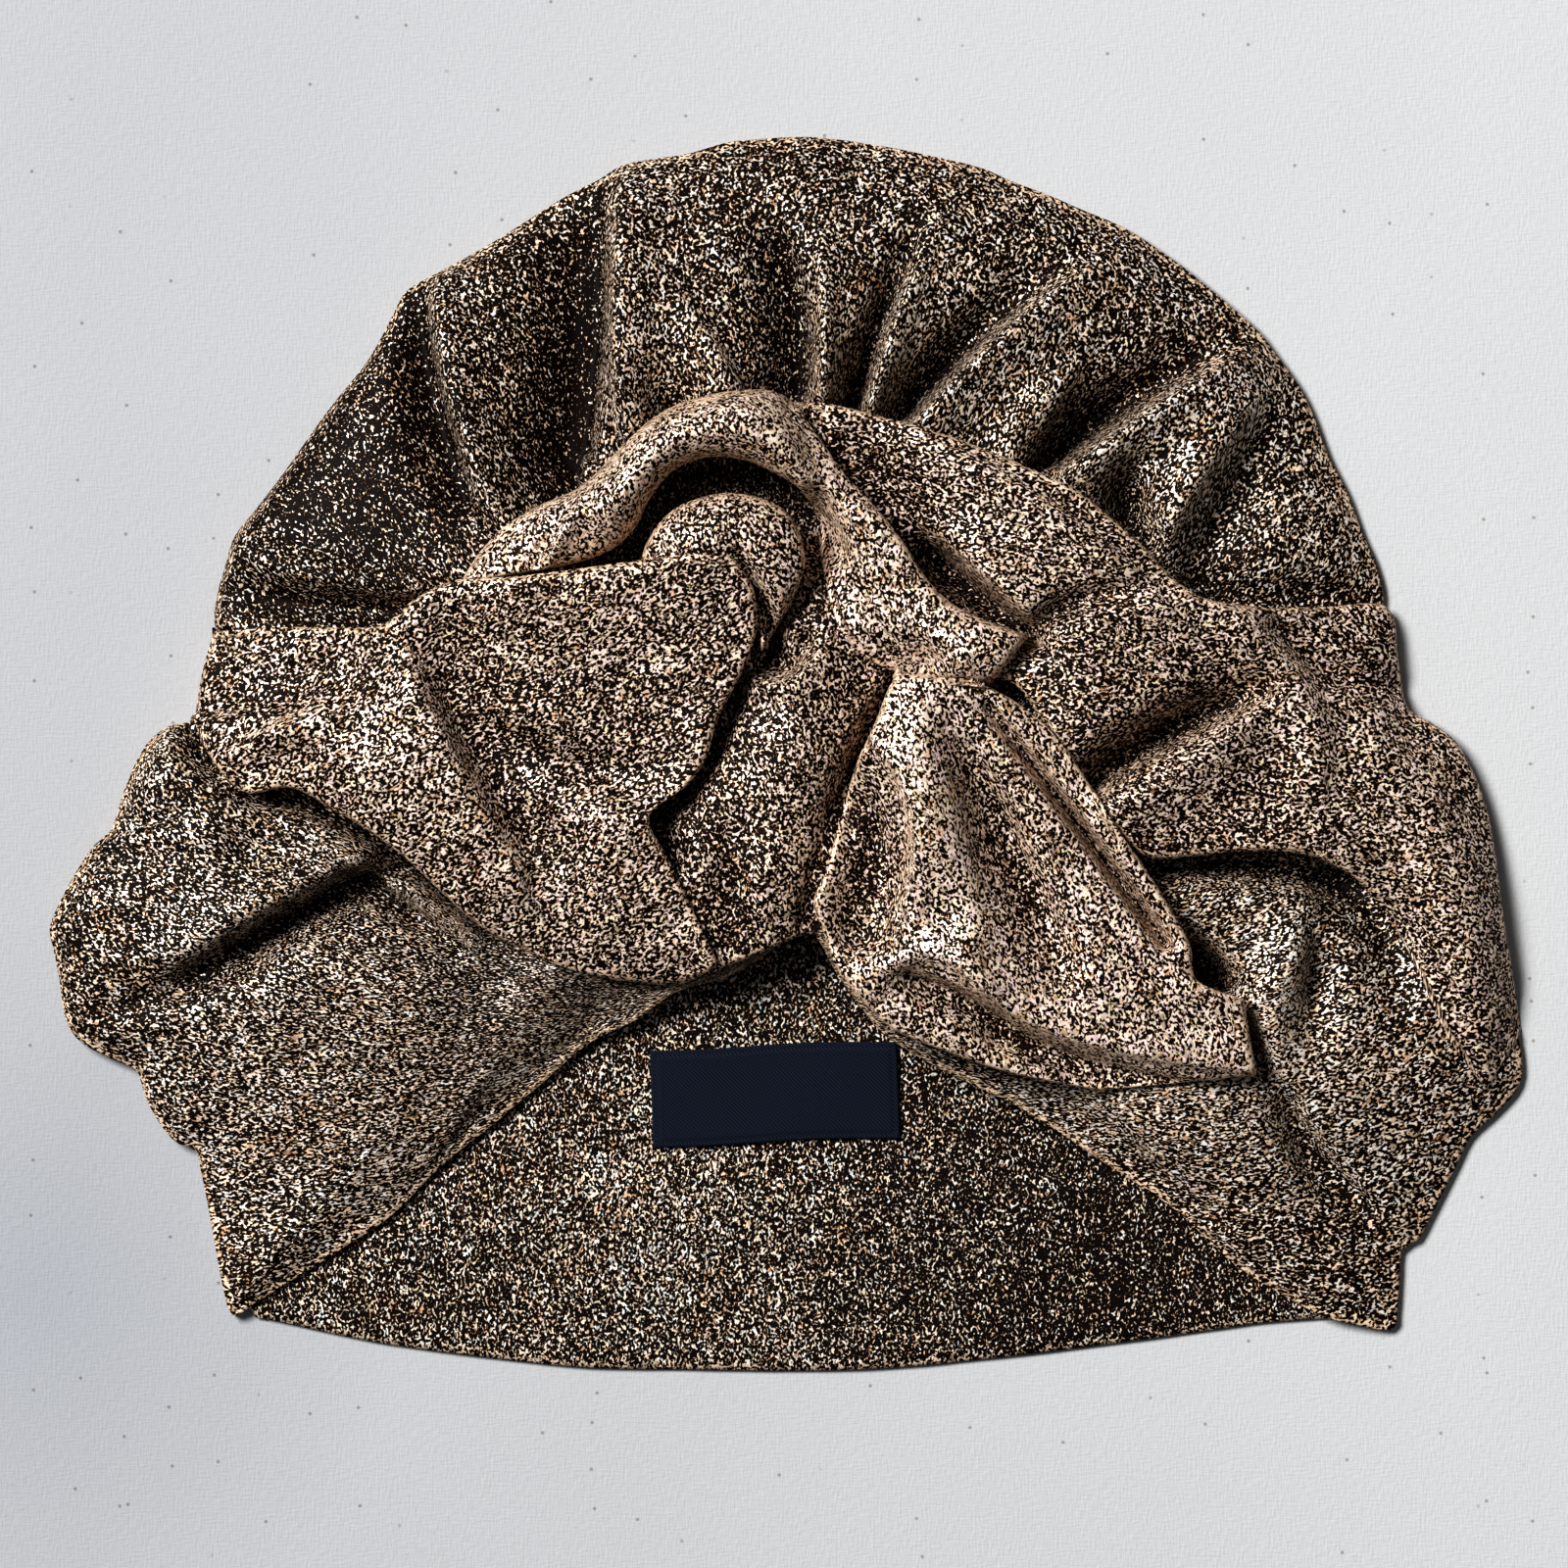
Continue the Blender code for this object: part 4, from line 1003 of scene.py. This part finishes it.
def knit_material(name, finish, look):
    """Black knit crossed by metallic thread, whose stitches show as short bright flecks."""
    net = Net(name)
    knit = net.attribute("knit")
    cover = net.attribute("cover", output=2)
    turned = net.attribute("turned", output=2)
    pitch = finish.fleck_pitch / MM * look.pitch
    # tilted, because noise looks uneven in the planes of its own grid
    tilt = (0.6, 0.45, 0.3)
    wander_scale, wander_reach, draw_scale, patch_scale, drift_scale = 0.3, 1.6, 0.62, 0.16, 0.07
    place = net.node(
        "ShaderNodeMapping", None, Vector=knit, Rotation=tilt,
        Scale=(1 / pitch, 1 / (pitch * look.dash), 1 / pitch),
    )
    wander = net.noise(place, wander_scale, 1.0, output=1)
    bent = net.node(
        "ShaderNodeVectorMath", {"operation": "MULTIPLY_ADD"}, wander, (wander_reach,) * 3, place)
    worms = net.noise(bent, 1.0, 1.0)
    each = net.node("ShaderNodeTexVoronoi", None, Vector=bent, Scale=draw_scale, output=1)
    size_draw = net.node("ShaderNodeSeparateColor", None, each)
    tint_draw, light_draw = size_draw.beside(1), size_draw.beside(2)
    patches = net.noise(knit, patch_scale, 3.0)
    drift = net.noise(knit, drift_scale, 2.0)
    contrast, patchiness, variety, rim_highlight = 8.0, 0.7, 0.6, 0.45
    level = (worms - 0.5) * contrast + (patches - 0.5) * patchiness + (size_draw - 0.5) * variety
    # Painted shade and light come in with the thread's share; the turned share adds a painted highlight along
    # rolled edges and on steep faces
    level = (level + cover + turned * rim_highlight).clamped()
    tint_variety, tint_drift, warmth = 0.9, 0.5, 0.06
    dim_slope, dim_from, sheen_tint = 1.7, 0.8, 0.85
    depth = net.node("ShaderNodeValToRGB", {"ramp": (
        (0.14, (0.0, 0.0, 0.0)), (0.34, (0.05, 0.02, 0.01)), (0.52, (0.38, 0.25, 0.15)),
        (0.7, (0.84, 0.77, 0.68)), (0.88, (1.0, 1.0, 1.0)),
    )}, level)
    tint = net.node("ShaderNodeValToRGB", {"ramp": (
        (0.0, look.white), (0.5, finish.fleck), (0.66, (1.0, 0.86, 0.62)), (0.78, (1.0, 0.8, 0.7)),
        (0.9, (0.86, 0.62, 0.44)), (1.0, (0.7, 0.44, 0.27)),
    )}, tint_draw * tint_variety + (drift - 0.5) * tint_drift + warmth)
    # Painted tan sheen on rolled edges and steep faces
    away = net.mix((turned * sheen_tint).clamped(), tint, rgba(look.turned))
    lit = net.mix(1.0, away, depth, "MULTIPLY")
    dim = net.mix(1.0, lit, rgba((0.42, 0.4, 0.37)), "MULTIPLY")
    thread = net.mix((light_draw * dim_slope - dim_from).clamped(), lit, dim)
    colour = net.mix(1.0, thread, rgba(finish.ground), "ADD")
    bump = net.node("ShaderNodeBump", None, Strength=1.0, Distance=0.0006, Height=level)
    return net.finish(
        Base_Color=colour, Roughness=0.6 - level * 0.15, Metallic=level * finish.metal, Normal=bump,
        Specular_IOR_Level=0.12,
    )


def satin_material(name, finish):
    """Navy-black satin, woven with a fine slanting rib."""
    net = Net(name)
    place = net.node("ShaderNodeTexCoord", None, output=3)
    weave = net.node(
        "ShaderNodeTexWave", {"bands_direction": "DIAGONAL"}, Vector=place, Scale=700.0, Distortion=0.6,
        Detail=1.0,
    )
    grain = net.noise(place, 2200.0, 1.0)
    rib_share, grain_share, grain_height = 0.6, 0.4, 0.4
    raised = weave * rib_share + grain * grain_share
    shade = net.mix(raised, rgba(finish.satin_dark), rgba(finish.satin))
    bump = net.node(
        "ShaderNodeBump", None, Strength=0.5, Distance=0.0002, Height=weave + grain * grain_height)
    return net.finish(Base_Color=shade, Roughness=0.6 + grain * 0.15, Normal=bump, Specular_IOR_Level=0.1)


def canvas_material(name, colour):
    """Pale plain canvas with fine threads and a few dark specks, with painted light falloff that makes it
    darker towards one side, and a soft painted shadow towards the lower left.
    """
    net = Net(name)
    place = net.node("ShaderNodeTexCoord", None, output=3)
    turn, along_thread, across_thread = math.radians(5), 420, 1900
    along, across = (
        net.node("ShaderNodeMapping", None, Vector=place, Rotation=(0, 0, turn), Scale=scale)
        for scale in ((along_thread, across_thread, 1), (across_thread, along_thread, 1))
    )
    thread = net.noise(along, 1.0, 2.0) + net.noise(across, 1.0, 2.0)
    cloud = net.noise(place, 9.0, 3.0)
    speck = net.node("ShaderNodeTexVoronoi", {"voronoi_dimensions": "2D"}, Vector=place, Scale=95.0)
    chance = net.node("ShaderNodeSeparateColor", None, speck.beside(1))
    speck_size, speck_edge, speck_rarity, rarity_edge = 0.045, 60.0, 0.72, 12.0
    seed = ((speck_size - speck) * speck_edge).clamped() * ((chance - speck_rarity) * rarity_edge).clamped()
    gap_shade, thread_share, cloud_share, gap_from = 0.86, 0.6, 0.5, 0.35
    between = [channel * gap_shade for channel in colour]
    raised = (thread * thread_share + cloud * cloud_share - gap_from).clamped()
    shade = net.mix(raised, rgba(between), rgba(colour))
    speck_tone, speck_strength = (0.22, 0.17, 0.13), 0.6
    shade = net.mix(seed * speck_strength, shade, rgba(speck_tone))
    # Painted light falloff: the canvas darker towards the left
    side = net.node("ShaderNodeSeparateXYZ", None, place)
    falloff_slope, falloff_tone = 3.2, (0.78, 0.785, 0.8)
    shade = net.mix((0.5 - side * falloff_slope).clamped(), shade, rgba(falloff_tone), "MULTIPLY")
    # Painted shadow, soft and bluish, towards the lower left of the turban
    shadow_centre, corner_reach, shadow_depth, shadow_tone = (-0.17, -0.12, 0.0), 0.085, 0.55, (0.72, 0.75, 0.8)
    far = net.node("ShaderNodeVectorMath", {"operation": "DISTANCE"}, place, shadow_centre, output=1)
    painted_shadow = (1.0 - far / corner_reach).clamped() * shadow_depth
    shade = net.mix(painted_shadow, shade, rgba(shadow_tone), "MULTIPLY")
    bump = net.node("ShaderNodeBump", None, Strength=0.3, Distance=0.0004, Height=thread)
    return net.finish(Base_Color=shade, Roughness=0.9, Normal=bump, Specular_IOR_Level=0.2)


# Stage

def aim(item, target):
    """Turns a light or camera towards a point."""
    item.rotation_euler = (Vector(target) - item.location).to_track_quat("-Z", "Y").to_euler()


def build_stage(stage):
    """The surface, one large soft light from the upper left, pale light all round and the camera."""
    half_width = 2.5
    bm = bmesh.new()
    bmesh.ops.create_grid(bm, x_segments=8, y_segments=8, size=half_width)
    finish_mesh("surface", bm, canvas_material("pale_canvas", stage.surface))

    lamp = bpy.data.lights.new("window", "AREA")
    lamp.shape = "RECTANGLE"
    lamp.size, lamp.size_y = 1.6, 1.3
    lamp.energy = stage.light_power
    light = in_scene("window", lamp)
    distance = 4.0
    light.location = (
        distance * math.cos(stage.light_rise) * math.cos(stage.light_turn),
        distance * math.cos(stage.light_rise) * math.sin(stage.light_turn),
        distance * math.sin(stage.light_rise),
    )
    aim(light, target=(0, 0, 0.01))

    world = bpy.data.worlds.new("fill")
    world.use_nodes = True
    back = world.node_tree.nodes["Background"]
    back.inputs["Color"].default_value = (0.93, 0.96, 1.0, 1.0)
    back.inputs["Strength"].default_value = stage.fill
    bpy.context.scene.world = world

    lens = bpy.data.cameras.new("overhead")
    lens.sensor_width = 36.0
    lens.lens = lens.sensor_width * stage.camera_height / stage.framed
    lens.clip_end = 20.0
    camera = in_scene("overhead", lens)
    middle_of_view = (-0.0004, -0.0066)
    camera.location = (*middle_of_view, stage.camera_height)
    bpy.context.scene.camera = camera
    view = bpy.context.scene.view_settings
    view.view_transform = "Standard"
    view.look = "High Contrast"


# Settings

class TurbanCloth(bpy.types.PropertyGroup):
    wall: bpy.props.FloatProperty(
        name="Cloth", description="Thickness of the doubled knit, in millimetres", default=1.2, min=0.5,
        max=3.0)


class TurbanFinish(bpy.types.PropertyGroup):
    fleck_pitch: bpy.props.FloatProperty(
        name="Fleck pitch", description="From one fleck of metallic thread to the next", default=0.00062,
        unit="LENGTH", subtype="DISTANCE", precision=5)
    fleck: bpy.props.FloatVectorProperty(
        name="Fleck", description="Metallic thread in full light", default=(1.0, 0.85, 0.71),
        subtype="COLOR", min=0.0, max=1.0)
    metal: bpy.props.FloatProperty(
        name="Metal", description="How metallic the thread is", default=0.25, min=0.0, max=1.0)
    ground: bpy.props.FloatVectorProperty(
        name="Ground", description="Black yarn between the flecks", default=(0.006, 0.003, 0.002),
        subtype="COLOR", min=0.0, max=1.0)
    satin: bpy.props.FloatVectorProperty(
        name="Satin", description="Label where its weave is raised", default=(0.022, 0.03, 0.05),
        subtype="COLOR", min=0.0, max=1.0)
    satin_dark: bpy.props.FloatVectorProperty(
        name="Satin shade", description="Label between its ribs", default=(0.003, 0.004, 0.009),
        subtype="COLOR", min=0.0, max=1.0)


class TurbanStage(bpy.types.PropertyGroup):
    surface: bpy.props.FloatVectorProperty(
        name="Surface", description="Canvas that the turban lies on", default=(0.62, 0.622, 0.625),
        subtype="COLOR", min=0.0, max=1.0)
    light_power: bpy.props.FloatProperty(
        name="Light", description="Power of the large soft light", default=190.0, unit="POWER")
    light_turn: bpy.props.FloatProperty(
        name="Light turn", description="Way to the light, from +X towards +Y", default=math.radians(145),
        subtype="ANGLE")
    light_rise: bpy.props.FloatProperty(
        name="Light rise", description="Height of the light over the horizon", default=math.radians(52),
        subtype="ANGLE")
    fill: bpy.props.FloatProperty(
        name="Fill", description="Strength of the pale light from all round", default=0.1, min=0.0)
    camera_height: bpy.props.FloatProperty(
        name="Camera height", description="Height of the camera over the surface", default=2.5,
        unit="LENGTH")
    framed: bpy.props.FloatProperty(
        name="Framed width", description="Width of the surface that the picture takes in", default=0.352,
        unit="LENGTH")


class TURBAN_OT_back(bpy.types.Operator):
    """Makes the back of the cap"""
    bl_idname = "turban.back"
    bl_label = "Back panel"

    def execute(self, context):
        mat = knit_material("knit_inside", context.scene.turban_finish, KNIT_INSIDE)
        declare(back_piece(mat), BACK_CUT)
        return {"FINISHED"}


class TURBAN_OT_front(bpy.types.Operator):
    """Makes the front of the cap, with its pleats, cheeks and brim"""
    bl_idname = "turban.front"
    bl_label = "Front panel"

    def execute(self, context):
        mat = knit_material("metallic_knit_front", context.scene.turban_finish, KNIT_ALONG)
        piece = front_piece(context.scene.turban_cloth.wall, mat)
        declare(piece, FRONT_CUT)
        return {"FINISHED"}


class TURBAN_OT_wraps(bpy.types.Operator):
    """Lays the wraps of the twisted knot on the front, in order"""
    bl_idname = "turban.wraps"
    bl_label = "Wraps"

    def execute(self, context):
        mat = knit_material("metallic_knit_wraps", context.scene.turban_finish, KNIT_ACROSS)
        for wrap in WRAPS:
            piece = wrap_piece(wrap, context.scene.turban_cloth.wall, mat)
            declare(piece, wrap.cut)
        return {"FINISHED"}


class TURBAN_OT_label(bpy.types.Operator):
    """Makes the plain woven label inside the back"""
    bl_idname = "turban.label"
    bl_label = "Label"

    def execute(self, context):
        piece = label_piece(satin_material("woven_label", context.scene.turban_finish))
        declare(piece, LABEL_CUT)
        return {"FINISHED"}


class TURBAN_OT_stage(bpy.types.Operator):
    """Makes the pale surface, the soft light and the camera over it"""
    bl_idname = "turban.stage"
    bl_label = "Stage"

    def execute(self, context):
        build_stage(context.scene.turban_stage)
        return {"FINISHED"}


class TURBAN_PT_panel(bpy.types.Panel):
    """Lists the turban's settings and the steps that build it"""
    bl_idname = "TURBAN_PT_panel"
    bl_label = "Turban"
    bl_space_type = "VIEW_3D"
    bl_region_type = "UI"
    bl_category = "Turban"

    def draw(self, context):
        column = self.layout.column()
        for group in (context.scene.turban_cloth, context.scene.turban_finish, context.scene.turban_stage):
            for name in group.__annotations__:
                column.prop(group, name)
        for operator in OPERATORS:
            column.operator(operator.bl_idname)


GROUPS = (TurbanCloth, TurbanFinish, TurbanStage)
OPERATORS = (TURBAN_OT_back, TURBAN_OT_front, TURBAN_OT_wraps, TURBAN_OT_label, TURBAN_OT_stage)


def register():
    for item in GROUPS + OPERATORS + (TURBAN_PT_panel,):
        bpy.utils.register_class(item)
    bpy.types.Scene.turban_cloth = bpy.props.PointerProperty(type=TurbanCloth)
    bpy.types.Scene.turban_finish = bpy.props.PointerProperty(type=TurbanFinish)
    bpy.types.Scene.turban_stage = bpy.props.PointerProperty(type=TurbanStage)


def unregister():
    del bpy.types.Scene.turban_cloth
    del bpy.types.Scene.turban_finish
    del bpy.types.Scene.turban_stage
    for item in reversed(GROUPS + OPERATORS + (TURBAN_PT_panel,)):
        bpy.utils.unregister_class(item)


def main():
    register()
    bpy.ops.turban.back()
    bpy.ops.turban.front()
    bpy.ops.turban.wraps()
    bpy.ops.turban.label()
    bpy.ops.turban.stage()


if __name__ == "__main__":
    main()
